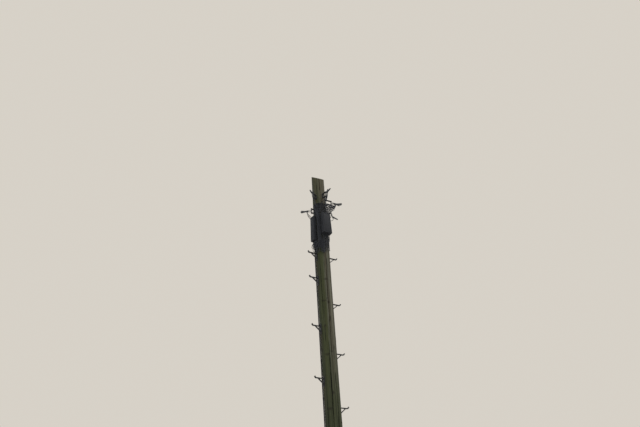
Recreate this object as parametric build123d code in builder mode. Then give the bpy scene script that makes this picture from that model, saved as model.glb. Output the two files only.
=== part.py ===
from build123d import *

import os
from math import cos, pi, radians, sin, tan

# A wooden telephone pole from the ground line up. Millimetres, +Z up, origin on the pole's
# axis at the ground line. The steps stand out along X, one box faces -Y and one faces -X.
# A direction round the pole is an azimuth: 0 points to -Y, 90 to +X, -90 to -X.

# Clearances
SEAT_GAP = 0.3
SWING_GAP = 1.0
HINGE_GAP = 0.1

# Sides of what is modelled with flats in place of a round
OCTAGON = 8
HEXAGON = 6

# Pole: a tapered log with a slanted roof cut
# A drop is a distance below the pole's top
GROUND_RADIUS = 121.0
UPPER_DROP = 1418.0
UPPER_RADIUS = 108.0
TOP_HEIGHT = 7618.0
TOP_RADIUS = 97.0
ROOF_SLOPE = 35.2
ROOF_SIDE_SLOPE = 2.5
ROOF_SPARE = 1.2
POLE_SIDES = 32
CHECK_DEPTH = 15.0
CHECK_SPARE = 3.0

# Climbing steps
STEP_PITCH = 762.0
STEPS_BELOW_BOX = 240.0
TOP_LEFT_STEP_RAISE = 30.0
STEP_COUNT_RIGHT = 5
STEP_COUNT_LEFT = 4
STEP_REACH = 146.0
TREAD_WIDTH = 26.0
TREAD_THICKNESS = 10.0
TOE_RISE = 26.0
TOE_LEAN = 7.0
TOE_BEND = 14.0
BRACE_REACH = 86.0
BRACE_DROP = 84.0
BRACE_WIDTH = 16.0
BRACE_FOOT = 11.0
PALM_WIDTH = 36.0
PALM_THICKNESS = 5.0
PALM_CHAMFER = 9.0
SADDLE_DEPTH = 5.0
PALM_ABOVE = 34.0
PALM_BELOW = 124.0

# Stirrups: a flat bar bent to a U on the pole, closed by an upright pin
STIRRUP_BAR_WIDTH = 32.0
STIRRUP_BAR_THICKNESS = 7.0
STIRRUP_BEND = 6.0
STIRRUP_CLEAR_HEIGHT = 64.0
PIN_RADIUS = 6.0
PIN_SIDES = 12
PIN_HEAD_RADIUS = 11.0
PIN_HEAD_HEIGHT = 8.0
PIN_TAIL = 10.0

# Wire clamps
BAIL_THICKNESS = 4.0
BAIL_LENGTH = 66.0
CLAMP_LENGTH = 112.0
CLAMP_INNER_WIDTH = 25.0
CLAMP_INNER_HEIGHT = 17.0
CLAMP_OUTER_WIDTH = 15.0
CLAMP_OUTER_HEIGHT = 12.0
CLAMP_SLOT_WIDTH = 8.0
CLAMP_SLOT_DEPTH = 5.0
WIRE_DESCENT = 5.0

# Boxes
BOX_WALL = 3.0
BOX_CORNER = 7.0
BOX_STAND_OFF = 8.0
SADDLE_HEIGHT = 26.0
SADDLE_REACH = 32.0
SADDLE_HALF_WIDTH = 60.0
KNUCKLE_RADIUS = 5.5
KNUCKLE_LENGTH = 24.0
KNUCKLE_INSET = 40.0
PEG_RADIUS = 2.5
LATCH_WIDTH = 26.0
LATCH_REACH = 9.0
LATCH_THICKNESS = 7.0
COVER_CHAMFER = 6.0
RIM_OVERRUN = 1.0
PORT_RADIUS = 3.9
BLOCK_THICKNESS = 7.0
BLOCK_WIDTH_SHARE = 0.5
BLOCK_LOW_SHARE = 0.3
BLOCK_HIGH_SHARE = 0.92
MODULE_COUNT = 8
MODULE_GAP = 4.0
MODULE_THICKNESS = 6.0

FRONT_BOX_WIDTH = 150.0
FRONT_BOX_DROP = 748.0
FRONT_BOX_HEIGHT = 365.0
FRONT_TRAY_DEPTH = 38.0
FRONT_COVER_DEPTH_BOTTOM = 50.0
FRONT_COVER_DEPTH_TOP = 24.0
FRONT_PORT_PITCH = 15.0
FRONT_PORT_COUNT = 9
SPARE_PORT = 3

LEFT_BOX_WIDTH = 106.0
LEFT_BOX_DROP = 768.0
LEFT_BOX_HEIGHT = 430.0
LEFT_TRAY_DEPTH = 24.0
LEFT_COVER_DEPTH_BOTTOM = 30.0
LEFT_COVER_DEPTH_TOP = 16.0
LEFT_PORT_PITCH = 12.0
LEFT_PORT_START = 16.0

# Cables
TAIL_RADIUS = 3.5
FEED_RADIUS = 7.5
FEED_AZIMUTH = -118.0
FEED_BOTTOM = 2.0
FEED_LEAVES_DROP = 1488.0
FEED_STAND_OFF = 0.5
FEED_CROSSING = (-110.0, 5.0, 1390.0)
FEED_TURN_DROP = 1318.0
FEED_ENTRY = 50.0
FEED_SIDES = 8
TAIL_SIDES = 4
TAIL_EXIT = 12.0
LINK_TURN_DROP = 1278.0
LINK_ENTRY = 60.0

# Clips and guard on the feed cable
CLIP_COUNT = 6
CLIP_HEIGHT = 16.0
CLIP_WALL = 1.8
CLIP_FOOT = 16.0
GUARD_LENGTH = 2400.0
GUARD_WALL = 2.0
GUARD_ROOM = 3.0
GUARD_FLANGE = 18.0
GUARD_FOOT = 10.0

os.makedirs("parts", exist_ok=True)


def pole_profile():
    """The pole's radius at each height where its taper changes, past the roof cut."""
    rise = TOP_RADIUS * tan(radians(ROOF_SLOPE)) * ROOF_SPARE
    return [
        (GROUND_RADIUS, 0.0),
        (UPPER_RADIUS, TOP_HEIGHT - UPPER_DROP),
        (TOP_RADIUS, TOP_HEIGHT + rise),
    ]


def pole_radius_at(height):
    """The pole's radius at a height above the ground line."""
    stations = pole_profile()
    for (r_low, z_low), (r_high, z_high) in zip(stations, stations[1:]):
        if height <= z_high:
            return r_low + (r_high - r_low) * (height - z_low) / (z_high - z_low)
    return stations[-1][0]


def outward(azimuth):
    """The level unit vector that points away from the pole at an azimuth."""
    return Vector(sin(radians(azimuth)), -cos(radians(azimuth)), 0)


def around(azimuth, distance, height):
    """A point given by azimuth, distance from the pole's axis and height."""
    return outward(azimuth) * distance + Vector(0, 0, height)


def off_pole(azimuth, stand_off, height, radius):
    """A cable's centre at a clear distance off the pole's surface; 0 lays it on the pole."""
    return around(azimuth, pole_radius_at(height) + SEAT_GAP + radius + stand_off, height)


def tail_point(azimuth, stand_off, drop):
    """A drop cable's centre at a clear distance off the pole's surface."""
    return off_pole(azimuth, stand_off, TOP_HEIGHT - drop, TAIL_RADIUS)


def radial_plane(azimuth, distance, height):
    """An upright plane through the pole's axis, with x outward and y up."""
    out = outward(azimuth)
    return Plane(origin=around(azimuth, distance, height), x_dir=out, z_dir=out.cross(Vector(0, 0, 1)))


def octagon(half_width, mode=Mode.ADD):
    """An octagon with flats square to the sketch's axes, at a distance from its centre."""
    return RegularPolygon(half_width / cos(pi / OCTAGON), OCTAGON, rotation=180 / OCTAGON, mode=mode)


def save(part, name):
    """Label a finished piece and write its file."""
    part.part.label = name
    export_step(part.part, f"parts/{name}.step")


def log(gap):
    """The uncut log as flat-sided frusta, larger all round by a gap."""
    with BuildPart() as shape:
        for radius, height in pole_profile():
            with BuildSketch(Plane.XY.offset(height)):
                RegularPolygon(radius + gap, POLE_SIDES)
        loft(ruled=True)
    return shape.part


# The main drying checks: azimuth, middle height, length and width at the middle
CHECKS = [
    (-20.0, 7430.0, 260.0, 5.0),
    (-49.0, 7370.0, 230.0, 4.0),
    (-58.0, 5550.0, 900.0, 5.0),
    (-12.0, 5250.0, 1400.0, 5.0),
    (-30.0, 4150.0, 1300.0, 6.0),
    (-70.0, 3700.0, 800.0, 5.0),
    (8.0, 3850.0, 1000.0, 5.0),
    (40.0, 4900.0, 1300.0, 5.0),
    (125.0, 5850.0, 1200.0, 5.0),
    (158.0, 4400.0, 1600.0, 6.0),
    (-152.0, 5100.0, 1400.0, 5.0),
    (170.0, 7250.0, 420.0, 5.0),
    (60.0, 2300.0, 1500.0, 5.0),
    (-25.0, 1900.0, 1500.0, 6.0),
    (140.0, 1700.0, 1300.0, 5.0),
    (-165.0, 2500.0, 1200.0, 5.0),
    (-60.0, 900.0, 1000.0, 5.0),
    (20.0, 750.0, 900.0, 5.0),
]

# Pole
roof_normal = Vector(-tan(radians(ROOF_SIDE_SLOPE)), -tan(radians(ROOF_SLOPE)), 1)
with BuildPart() as pole:
    add(log(0))
    split(bisect_by=Plane(origin=(0, 0, TOP_HEIGHT), z_dir=roof_normal), keep=Keep.BOTTOM)
    for azimuth, middle, length, width in CHECKS:
        face = Plane(origin=around(azimuth, pole_radius_at(middle) - CHECK_DEPTH, middle),
                     x_dir=(0, 0, 1), z_dir=outward(azimuth))
        with BuildSketch(face):
            with BuildLine():
                Polyline((-length / 2, 0), (0, -width / 2), (length / 2, 0), (0, width / 2), close=True)
            make_face()
        extrude(amount=CHECK_DEPTH + CHECK_SPARE, mode=Mode.SUBTRACT)
save(pole, "pole")

# The space that the pole takes, with the seat gap, cut from the back of what sits on it
pole_room = log(SEAT_GAP)


# Climbing steps: a palm screwed to the pole, a tread with a turned-up toe and a brace
def make_step(name, azimuth, height):
    """One climbing step with its tread's top at a height."""
    seat = pole_radius_at(height) + SEAT_GAP
    side = radial_plane(azimuth, seat, height)
    with BuildPart() as step:
        with BuildLine(side) as run:
            FilletPolyline(
                (0, -TREAD_THICKNESS / 2),
                (STEP_REACH - TREAD_THICKNESS, -TREAD_THICKNESS / 2),
                (STEP_REACH - TREAD_THICKNESS / 2 + TOE_LEAN, TOE_RISE),
                radius=TOE_BEND,
            )
        with BuildSketch(Plane(origin=run.wire() @ 0, x_dir=side.z_dir, z_dir=run.wire() % 0)):
            Rectangle(TREAD_WIDTH, TREAD_THICKNESS)
        sweep()
        with BuildSketch(side):
            with BuildLine():
                Polyline(
                    (BRACE_REACH, -TREAD_THICKNESS / 2),
                    (BRACE_REACH + BRACE_FOOT, -TREAD_THICKNESS / 2),
                    (BRACE_FOOT, -BRACE_DROP - TREAD_THICKNESS),
                    (0, -BRACE_DROP - TREAD_THICKNESS),
                    close=True,
                )
            make_face()
        extrude(amount=BRACE_WIDTH / 2, both=True)
        palm = Plane(origin=side.origin, x_dir=side.z_dir, z_dir=-side.x_dir)
        with BuildSketch(palm.offset(SADDLE_DEPTH)) as outline:
            with Locations((0, (PALM_ABOVE - PALM_BELOW) / 2)):
                Rectangle(PALM_WIDTH, PALM_ABOVE + PALM_BELOW)
            chamfer(outline.vertices(), PALM_CHAMFER)
        extrude(amount=-SADDLE_DEPTH - PALM_THICKNESS)
        add(pole_room, mode=Mode.SUBTRACT)
    save(step, name)


top_step = TOP_HEIGHT - LEFT_BOX_DROP - LEFT_BOX_HEIGHT - STEPS_BELOW_BOX
for number in range(STEP_COUNT_RIGHT):
    make_step(f"right_step_{number + 1}", 90, top_step - (STEP_COUNT_RIGHT - 1 - number) * STEP_PITCH)
for number in range(STEP_COUNT_LEFT):
    below = (STEP_COUNT_LEFT - 1 - number) * STEP_PITCH + STEP_PITCH / 2
    make_step(f"left_step_{number + 1}", -90, top_step - below)
make_step(f"left_step_{STEP_COUNT_LEFT + 1}", -90, top_step + TOP_LEFT_STEP_RAISE)


# Stirrups with their pins, and the wire clamps that hang on the pins
def make_stirrup(name, azimuth, pin_distance, height):
    """A U of flat bar on the pole, open outward, closed by a bolt with its head and its nut."""
    back = pole_radius_at(height)
    front = back + STIRRUP_BAR_THICKNESS
    inside = STIRRUP_CLEAR_HEIGHT / 2
    reach = inside + STIRRUP_BAR_THICKNESS
    pin = Plane(origin=around(azimuth, pin_distance, height), x_dir=outward(azimuth), z_dir=(0, 0, 1))
    with BuildPart() as stirrup:
        with BuildSketch(radial_plane(azimuth, 0, height)):
            with BuildLine():
                outer = FilletPolyline((pin_distance, reach), (back, reach), (back, -reach),
                                       (pin_distance, -reach), radius=STIRRUP_BEND + STIRRUP_BAR_THICKNESS)
                inner = FilletPolyline((pin_distance, inside), (front, inside), (front, -inside),
                                       (pin_distance, -inside), radius=STIRRUP_BEND)
                Line(outer @ 0, inner @ 0)
                Line(outer @ 1, inner @ 1)
            make_face()
        extrude(amount=STIRRUP_BAR_WIDTH / 2, both=True)
        add(pole_room, mode=Mode.SUBTRACT)
        with BuildSketch(pin.offset(-reach), pin.offset(inside)):
            octagon(STIRRUP_BAR_WIDTH / 2)
        extrude(amount=STIRRUP_BAR_THICKNESS)
        with BuildSketch(pin.offset(-reach - PIN_HEAD_HEIGHT - PIN_TAIL)):
            RegularPolygon(PIN_RADIUS, PIN_SIDES)
        extrude(amount=2 * reach + PIN_HEAD_HEIGHT + PIN_TAIL)
        with BuildSketch(pin.offset(reach), pin.offset(-reach - PIN_HEAD_HEIGHT)):
            RegularPolygon(PIN_HEAD_RADIUS, HEXAGON)
        extrude(amount=PIN_HEAD_HEIGHT)
    save(stirrup, name)


def clamp_plane(pin_azimuth, pin_distance, height, wire_azimuth):
    """A clamp's own plane on its pin: x runs out along the wire, z is up across it."""
    fall = radians(WIRE_DESCENT)
    along = outward(wire_azimuth) * cos(fall) - Vector(0, 0, sin(fall))
    up = outward(wire_azimuth) * sin(fall) + Vector(0, 0, cos(fall))
    return Plane(origin=around(pin_azimuth, pin_distance, height), x_dir=along, z_dir=up)


def make_clamp(place):
    """A clamp: a bail bent round the pin and a tapered body with a slot for the wire."""
    eye = PIN_RADIUS + SEAT_GAP
    bail = eye + BAIL_THICKNESS
    outer_end = BAIL_LENGTH + CLAMP_LENGTH
    slot_start = BAIL_LENGTH + CLAMP_LENGTH / 4
    with BuildPart() as clamp:
        with BuildSketch(place):
            with BuildLine():
                Polyline((BAIL_LENGTH, -CLAMP_INNER_WIDTH / 2), (outer_end, -CLAMP_OUTER_WIDTH / 2),
                         (outer_end, CLAMP_OUTER_WIDTH / 2), (BAIL_LENGTH, CLAMP_INNER_WIDTH / 2), close=True)
            make_face()
        extrude(amount=CLAMP_INNER_HEIGHT, both=True)
        with BuildSketch(Plane(origin=place.origin, x_dir=place.x_dir, z_dir=-place.y_dir)):
            with BuildLine():
                Polyline((BAIL_LENGTH, -CLAMP_INNER_HEIGHT / 2), (outer_end, -CLAMP_OUTER_HEIGHT / 2),
                         (outer_end, CLAMP_OUTER_HEIGHT / 2), (BAIL_LENGTH, CLAMP_INNER_HEIGHT / 2),
                         close=True)
            make_face()
        extrude(amount=CLAMP_INNER_WIDTH, both=True, mode=Mode.INTERSECT)
        with BuildSketch(place.offset(CLAMP_INNER_HEIGHT / 2 - CLAMP_SLOT_DEPTH)):
            with Locations(((slot_start + outer_end) / 2, 0)):
                Rectangle(outer_end - slot_start, CLAMP_SLOT_WIDTH)
        extrude(amount=CLAMP_SLOT_DEPTH, mode=Mode.SUBTRACT)
        with BuildSketch(place):
            for half, mode in ((bail, Mode.ADD), (eye, Mode.SUBTRACT)):
                octagon(half, mode)
                with Locations((BAIL_LENGTH / 2, 0)):
                    Rectangle(BAIL_LENGTH, 2 * half, mode=mode)
        extrude(amount=BAIL_THICKNESS / 2, both=True)
    return clamp.part


# Each stirrup's azimuth, its pin's distance from the pole's axis and its drop
STIRRUPS = {
    "right_upper": (90.0, 228.0, 422.0),
    "right_lower": (90.0, 186.0, 658.0),
    "front": (5.0, 186.0, 403.0),
    "left_upper": (-60.0, 184.0, 428.0),
    "left_lower": (-90.0, 150.0, 662.0),
}
# Each stirrup's clamps: height from the stirrup's middle and the azimuth of the wire
CLAMPS = {
    "right_upper": [(-27.0, 42.5), (-9.0, 59.0), (9.0, 77.5), (27.0, 96.0)],
    "right_lower": [(0.0, 101.0)],
    "front": [(-12.0, -22.0), (12.0, -8.0)],
    "left_upper": [(12.0, -49.0), (-12.0, -35.0)],
    "left_lower": [(-20.0, -100.0), (0.0, -119.0), (20.0, -139.5)],
}

clamp_places = {}
for stirrup_name, (pin_azimuth, pin_distance, drop) in STIRRUPS.items():
    middle = TOP_HEIGHT - drop
    make_stirrup(f"{stirrup_name}_stirrup", pin_azimuth, pin_distance, middle)
    made = []
    for number, (lift, wire_azimuth) in enumerate(CLAMPS[stirrup_name]):
        place = clamp_plane(pin_azimuth, pin_distance, middle + lift, wire_azimuth)
        clamp_places[stirrup_name, number] = place
        made.append(make_clamp(place))
    with BuildPart() as clamps:
        for clamp in made:
            add(clamp)
    save(clamps, f"{stirrup_name}_clamps")


# Boxes
class Box:
    """Sizes and planes of one terminal box on the pole."""

    def __init__(self, azimuth, width, drop, height, tray_depth, depths, hinge_side, ports, slots, bores):
        self.azimuth = azimuth
        self.width = width
        self.top = TOP_HEIGHT - drop
        self.bottom = self.top - height
        self.back = pole_radius_at(self.bottom) + BOX_STAND_OFF
        self.rim = self.back + tray_depth
        self.depth_bottom, self.depth_top = depths
        self.hinge_side = hinge_side
        self.ports = ports
        self.slots = slots
        self.bores = bores
        self.out = outward(azimuth)
        self.across = Vector(0, 0, 1).cross(self.out)
        self.port_distance = (self.back + BOX_WALL + self.rim) / 2

    def side(self):
        """The upright middle plane, with x outward and y up."""
        return radial_plane(self.azimuth, 0, 0)

    def level(self, height):
        """A level plane, with x across the box and y outward reversed."""
        return Plane(origin=(0, 0, height), x_dir=self.across, z_dir=(0, 0, 1))

    def hinge_point(self, height=0.0):
        """The hinge axis, outside the side wall on the plane where tray and cover meet."""
        aside = self.width / 2 + KNUCKLE_RADIUS + SWING_GAP
        return self.out * self.rim + self.across * (self.hinge_side * aside) + Vector(0, 0, height)

    def port(self, offset, height):
        """A point on the line of one cable entry."""
        return self.out * self.port_distance + self.across * offset + Vector(0, 0, height)

    def knuckle_heights(self):
        """The lower ends of the two knuckle pairs."""
        return [self.bottom + KNUCKLE_INSET, self.top - KNUCKLE_INSET - 2 * KNUCKLE_LENGTH]


def profile(box, points):
    """An upright outline on a box's middle plane, as distance outward and height."""
    with BuildSketch(box.side()) as outline:
        with BuildLine():
            Polyline(*points, close=True)
        make_face()
    return outline.sketch


def slab(box, inner, outer, low, high):
    """A rectangle on a box's middle plane."""
    return profile(box, [(inner, low), (outer, low), (outer, high), (inner, high)])


def disc(box, centre, radius):
    """A level circle at a point."""
    with BuildSketch(Plane(origin=centre, x_dir=box.across, z_dir=(0, 0, 1))) as circle:
        Circle(radius)
    return circle.sketch


def knuckle(box, start, toward):
    """A hinge barrel's outline with the web that carries it; toward is 1 for the tray's side."""
    aside = KNUCKLE_RADIUS + SWING_GAP + BOX_WALL
    thick = KNUCKLE_RADIUS - SWING_GAP
    with BuildSketch(Plane(origin=box.hinge_point(start), x_dir=box.across, z_dir=(0, 0, 1))) as outline:
        octagon(KNUCKLE_RADIUS)
        with Locations((-box.hinge_side * aside / 2, toward * (SWING_GAP + thick / 2))):
            Rectangle(aside, thick)
    return outline.sketch


def lug(box, distance, height):
    """The level outline of a latch lug on the side away from the hinge."""
    with BuildSketch(box.level(height)) as outline:
        with Locations((-box.hinge_side * (box.width / 2 + LATCH_REACH / 2), -distance)):
            Rectangle(LATCH_REACH, LATCH_THICKNESS)
    return outline.sketch


def entries(box):
    """The level outline of the cable entries in a box's entry plate: slots and round bores."""
    with BuildSketch(box.level(box.bottom - RIM_OVERRUN)) as holes:
        for first, last in box.slots:
            with Locations(((box.ports[first] + box.ports[last]) / 2, -box.port_distance)):
                Rectangle(box.ports[last] - box.ports[first] + 2 * PORT_RADIUS, 2 * PORT_RADIUS)
        for offset, radius in box.bores:
            with Locations((offset, -box.port_distance)):
                Circle(radius)
    return holes.sketch


def make_tray(name, box):
    """The fixed half: a moulded back, sides and top on two saddles, with knuckles, pegs and a lug."""
    saddle = min(SADDLE_HALF_WIDTH, box.width / 2 - BOX_CORNER)
    latch_low = (box.bottom + box.top - LATCH_WIDTH) / 2
    with BuildPart() as tray:
        extrude(slab(box, box.back, box.rim, box.bottom, box.top), amount=box.width / 2, both=True)
        upright = tray.edges().filter_by(Axis.Z)
        fillet([edge for edge in upright if edge.center().dot(box.out) < box.port_distance], BOX_CORNER)
        inside = slab(box, box.back + BOX_WALL, box.rim + RIM_OVERRUN,
                      box.bottom - RIM_OVERRUN, box.top - BOX_WALL)
        extrude(inside, amount=box.width / 2 - BOX_WALL, both=True, mode=Mode.SUBTRACT)
        for low in (box.bottom + SADDLE_HEIGHT, box.top - 2 * SADDLE_HEIGHT):
            extrude(slab(box, box.back - SADDLE_REACH, box.back, low, low + SADDLE_HEIGHT),
                    amount=saddle, both=True)
        for low in box.knuckle_heights():
            extrude(knuckle(box, low, 1), amount=KNUCKLE_LENGTH)
            extrude(disc(box, box.hinge_point(low), PEG_RADIUS), amount=2 * KNUCKLE_LENGTH - SWING_GAP)
        extrude(lug(box, box.rim - LATCH_THICKNESS / 2, latch_low), amount=LATCH_WIDTH)
        add(pole_room, mode=Mode.SUBTRACT)
    save(tray, name)


def make_base(name, box):
    """The entry plate that closes the tray's bottom, with the cable entries through it."""
    with BuildPart() as base:
        extrude(slab(box, box.back + BOX_WALL, box.rim, box.bottom, box.bottom + BOX_WALL),
                amount=box.width / 2 - BOX_WALL, both=True)
        extrude(entries(box), amount=BOX_WALL + 2 * RIM_OVERRUN, mode=Mode.SUBTRACT)
    save(base, name)


def make_cover(name, box):
    """The hinged half: a wedge-shaped shell, deeper at the bottom."""
    rim = box.rim + SEAT_GAP
    face_bottom = rim + box.depth_bottom
    face_top = rim + box.depth_top
    latch_low = (box.bottom + box.top - LATCH_WIDTH) / 2
    shell = [(rim, box.bottom), (face_bottom, box.bottom), (face_top, box.top), (rim, box.top)]
    hollow = [(rim - RIM_OVERRUN, box.bottom + BOX_WALL), (face_bottom - BOX_WALL, box.bottom + BOX_WALL),
              (face_top - BOX_WALL, box.top - BOX_WALL), (rim - RIM_OVERRUN, box.top - BOX_WALL)]
    with BuildPart() as cover:
        extrude(profile(box, shell), amount=box.width / 2, both=True)
        front = max(cover.faces(), key=lambda face: face.center().dot(box.out))
        chamfer(front.edges(), COVER_CHAMFER)
        extrude(profile(box, hollow), amount=box.width / 2 - BOX_WALL, both=True, mode=Mode.SUBTRACT)
        for low in box.knuckle_heights():
            start = low + KNUCKLE_LENGTH + SWING_GAP / 2
            extrude(knuckle(box, start, -1), amount=KNUCKLE_LENGTH - SWING_GAP)
            extrude(disc(box, box.hinge_point(low), PEG_RADIUS + HINGE_GAP),
                    amount=2 * KNUCKLE_LENGTH + SWING_GAP, mode=Mode.SUBTRACT)
        extrude(lug(box, rim + LATCH_THICKNESS / 2, latch_low), amount=LATCH_WIDTH)
    save(cover, name)


def make_terminals(name, box):
    """The terminal strip on the tray's back wall, with a row of raised modules."""
    low = box.bottom + (box.top - box.bottom) * BLOCK_LOW_SHARE
    high = box.bottom + (box.top - box.bottom) * BLOCK_HIGH_SHARE
    half = box.width * BLOCK_WIDTH_SHARE / 2
    floor = box.back + BOX_WALL
    lid = floor + BLOCK_THICKNESS
    pitch = (high - low) / MODULE_COUNT
    with BuildPart() as terminals:
        extrude(slab(box, floor, lid, low, high), amount=half, both=True)
        for number in range(MODULE_COUNT):
            start = low + number * pitch + MODULE_GAP / 2
            end = start + pitch - MODULE_GAP
            module = profile(box, [(lid, start), (lid + MODULE_THICKNESS, start + MODULE_GAP / 2),
                                   (lid + MODULE_THICKNESS, end - MODULE_GAP / 2), (lid, end)])
            extrude(module, amount=half - MODULE_GAP, both=True)
    save(terminals, name)


front_ports = [(number - (FRONT_PORT_COUNT - 1) / 2) * FRONT_PORT_PITCH for number in range(FRONT_PORT_COUNT)]
front_slots = [(0, SPARE_PORT - 1), (SPARE_PORT + 1, FRONT_PORT_COUNT - 1)]
left_ports = [side * (LEFT_PORT_START + number * LEFT_PORT_PITCH) for side in (-1, 1) for number in range(3)]
left_slots = [(2, 0), (3, 5)]
front_box = Box(0, FRONT_BOX_WIDTH, FRONT_BOX_DROP, FRONT_BOX_HEIGHT, FRONT_TRAY_DEPTH,
                (FRONT_COVER_DEPTH_BOTTOM, FRONT_COVER_DEPTH_TOP), 1,
                front_ports, front_slots, [(front_ports[SPARE_PORT], PORT_RADIUS)])
left_box = Box(-90, LEFT_BOX_WIDTH, LEFT_BOX_DROP, LEFT_BOX_HEIGHT, LEFT_TRAY_DEPTH,
               (LEFT_COVER_DEPTH_BOTTOM, LEFT_COVER_DEPTH_TOP), -1,
               left_ports, left_slots, [(0, FEED_RADIUS + SEAT_GAP)])
for box_name, box in (("front_box", front_box), ("left_box", left_box)):
    make_tray(f"{box_name}_tray", box)
    make_base(f"{box_name}_base", box)
    make_cover(f"{box_name}_cover", box)
    make_terminals(f"{box_name}_terminals", box)
    print(box_name, "hinge at", box.hinge_point(box.bottom), "rim", box.rim, "ports out", box.port_distance)


# Cables: straight runs joined by arcs as wide as the runs allow
def bend_radii(points):
    """The arc radius at each inner point of a route."""
    radii = []
    for before, corner, after in zip(points, points[1:], points[2:]):
        run_in = corner - before
        run_out = after - corner
        turn = radians(run_in.get_angle(run_out))
        radii.append(0.45 * min(run_in.length, run_out.length) / tan(turn / 2))
    return radii


def make_cable(points, radius, sides):
    """One cable along a route, with a polygon of that many sides as its section."""
    radii = bend_radii(points)
    with BuildPart() as cable:
        with BuildLine() as run:
            FilletPolyline(*points, radius=radii)
        path = run.wire()
        with BuildSketch(Plane(origin=path @ 0, z_dir=path % 0)) as section:
            RegularPolygon(radius, sides)
        sweep(path=path)
    print("  radii", [round(value) for value in radii], "length", round(path.length))
    return cable.part


def make_tails(name, tails):
    """The cables of one group, each from its clamp down the pole and up into its box entry."""
    made = []
    print(name)
    for clamp_key, hang, middle, box, offset, depth, entry_end in tails:
        place = clamp_places[clamp_key]
        exit_point = place.from_local_coords((BAIL_LENGTH + TAIL_EXIT, 0, -CLAMP_INNER_HEIGHT / 2 - SEAT_GAP))
        start = [exit_point, Vector(exit_point.X, exit_point.Y, TOP_HEIGHT - hang)]
        end = [box.port(offset, box.bottom - depth), box.port(offset, box.bottom + entry_end)]
        route = start + [tail_point(*point) for point in middle] + end
        made.append(make_cable(route, TAIL_RADIUS, TAIL_SIDES))
    with BuildPart() as group:
        for cable in made:
            add(cable)
    save(group, name)


# Each tail: its clamp, the drop to which it hangs from the clamp, the points between as
# azimuth, distance off the pole and drop, its box, the entry's place across the box, how
# far below the box it turns up, and how far it reaches in
right_tails = [
    (("right_upper", 0), 506,
     [(66, 78, 538), (42, 0, 576), (42, 0, 1158), (41, 3, 1212), (32.5, 17, 1226), (24.9, 33, 1212)],
     front_box, front_ports[8], 45, 96),
    (("right_upper", 1), 492,
     [(71, 82, 548), (47, 0, 612), (47, 0, 1178), (45.5, 3, 1240), (32, 16, 1258), (19.5, 28, 1240)],
     front_box, front_ports[7], 65, 88),
    (("right_upper", 2), 506,
     [(76, 86, 572), (52, 0, 646), (52, 0, 1203), (50.5, 3, 1268), (38, 11, 1288), (25, 17, 1290),
      (14, 25, 1270)],
     front_box, front_ports[6], 95, 99),
    (("right_upper", 3), 520,
     [(82, 92, 596), (57, 0, 680), (57, 0, 1233), (55, 3, 1302), (41, 10, 1325), (23, 15, 1329),
      (8.3, 23, 1306)],
     front_box, front_ports[5], 120, 80),
    (("right_lower", 0), 723,
     [(84, 70, 772), (63, 0, 828), (63, 0, 1268), (61, 3, 1338), (46, 9, 1366), (28, 13, 1376),
      (12, 17, 1368), (1.5, 22.5, 1342)],
     front_box, front_ports[4], 155, 92),
]
front_tails = [
    (("front", 0), 468,
     [(-13, 69, 553), (-38, 0, 643), (-38, 0, 1158), (-37, 3, 1218), (-30.5, 16, 1230), (-24.8, 32, 1218)],
     front_box, front_ports[0], 45, 84),
    (("front", 1), 478,
     [(-11, 68, 536), (-43, 0, 606), (-43, 0, 1178), (-42, 3, 1246), (-31, 16, 1262), (-19.5, 28.5, 1246)],
     front_box, front_ports[1], 69, 98),
]
left_upper_tails = [
    (("left_upper", 0), 498,
     [(-55.4, 77, 558), (-52, 0, 628), (-52, 0, 1238), (-53, 3, 1296), (-62.5, 12, 1309), (-71.8, 21, 1296)],
     left_box, left_ports[5], 45, 112),
    (("left_upper", 1), 513,
     [(-51, 75, 588), (-47.5, 0, 658), (-47.5, 0, 1268), (-48.5, 3, 1329), (-61, 11, 1346),
      (-76.3, 18, 1330)],
     left_box, left_ports[4], 70, 100),
]
left_lower_tails = [
    (("left_lower", 0), 726,
     [(-108, 50, 738), (-124, 0, 756), (-124, 0, 1198), (-123.2, 3, 1258), (-115.5, 12, 1269),
      (-108, 21.5, 1258)],
     left_box, left_ports[2], 20, 118),
    (("left_lower", 1), 724,
     [(-118, 40, 756), (-129, 0, 786), (-129, 0, 1218), (-128, 3, 1282), (-116, 11, 1296),
      (-103.6, 18.5, 1282)],
     left_box, left_ports[1], 30, 90),
    (("left_lower", 2), 730,
     [(-126, 36, 778), (-134, 0, 816), (-134, 0, 1238), (-133, 3, 1306), (-120, 9, 1322), (-108, 13, 1322),
      (-98.4, 17, 1304)],
     left_box, left_ports[0], 45, 106),
]
make_tails("right_tails", right_tails)
make_tails("front_tails", front_tails)
make_tails("left_upper_tails", left_upper_tails)
make_tails("left_lower_tails", left_lower_tails)

# Link cable between the boxes
link_middle = [(-81.5, 16, 1350), (-70, 12, 1378), (-52, 10, 1392), (-33, 12, 1386), (-17, 22, 1356)]
link_turn = TOP_HEIGHT - LINK_TURN_DROP
link_start = [left_box.port(left_ports[3], left_box.bottom + LINK_ENTRY),
              left_box.port(left_ports[3], link_turn)]
link_end = [front_box.port(front_ports[2], link_turn),
            front_box.port(front_ports[2], front_box.bottom + LINK_ENTRY)]
print("link_cable")
link = make_cable(link_start + [tail_point(*point) for point in link_middle] + link_end,
                  TAIL_RADIUS, TAIL_SIDES)
with BuildPart() as link_cable:
    add(link)
save(link_cable, "link_cable")

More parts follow.
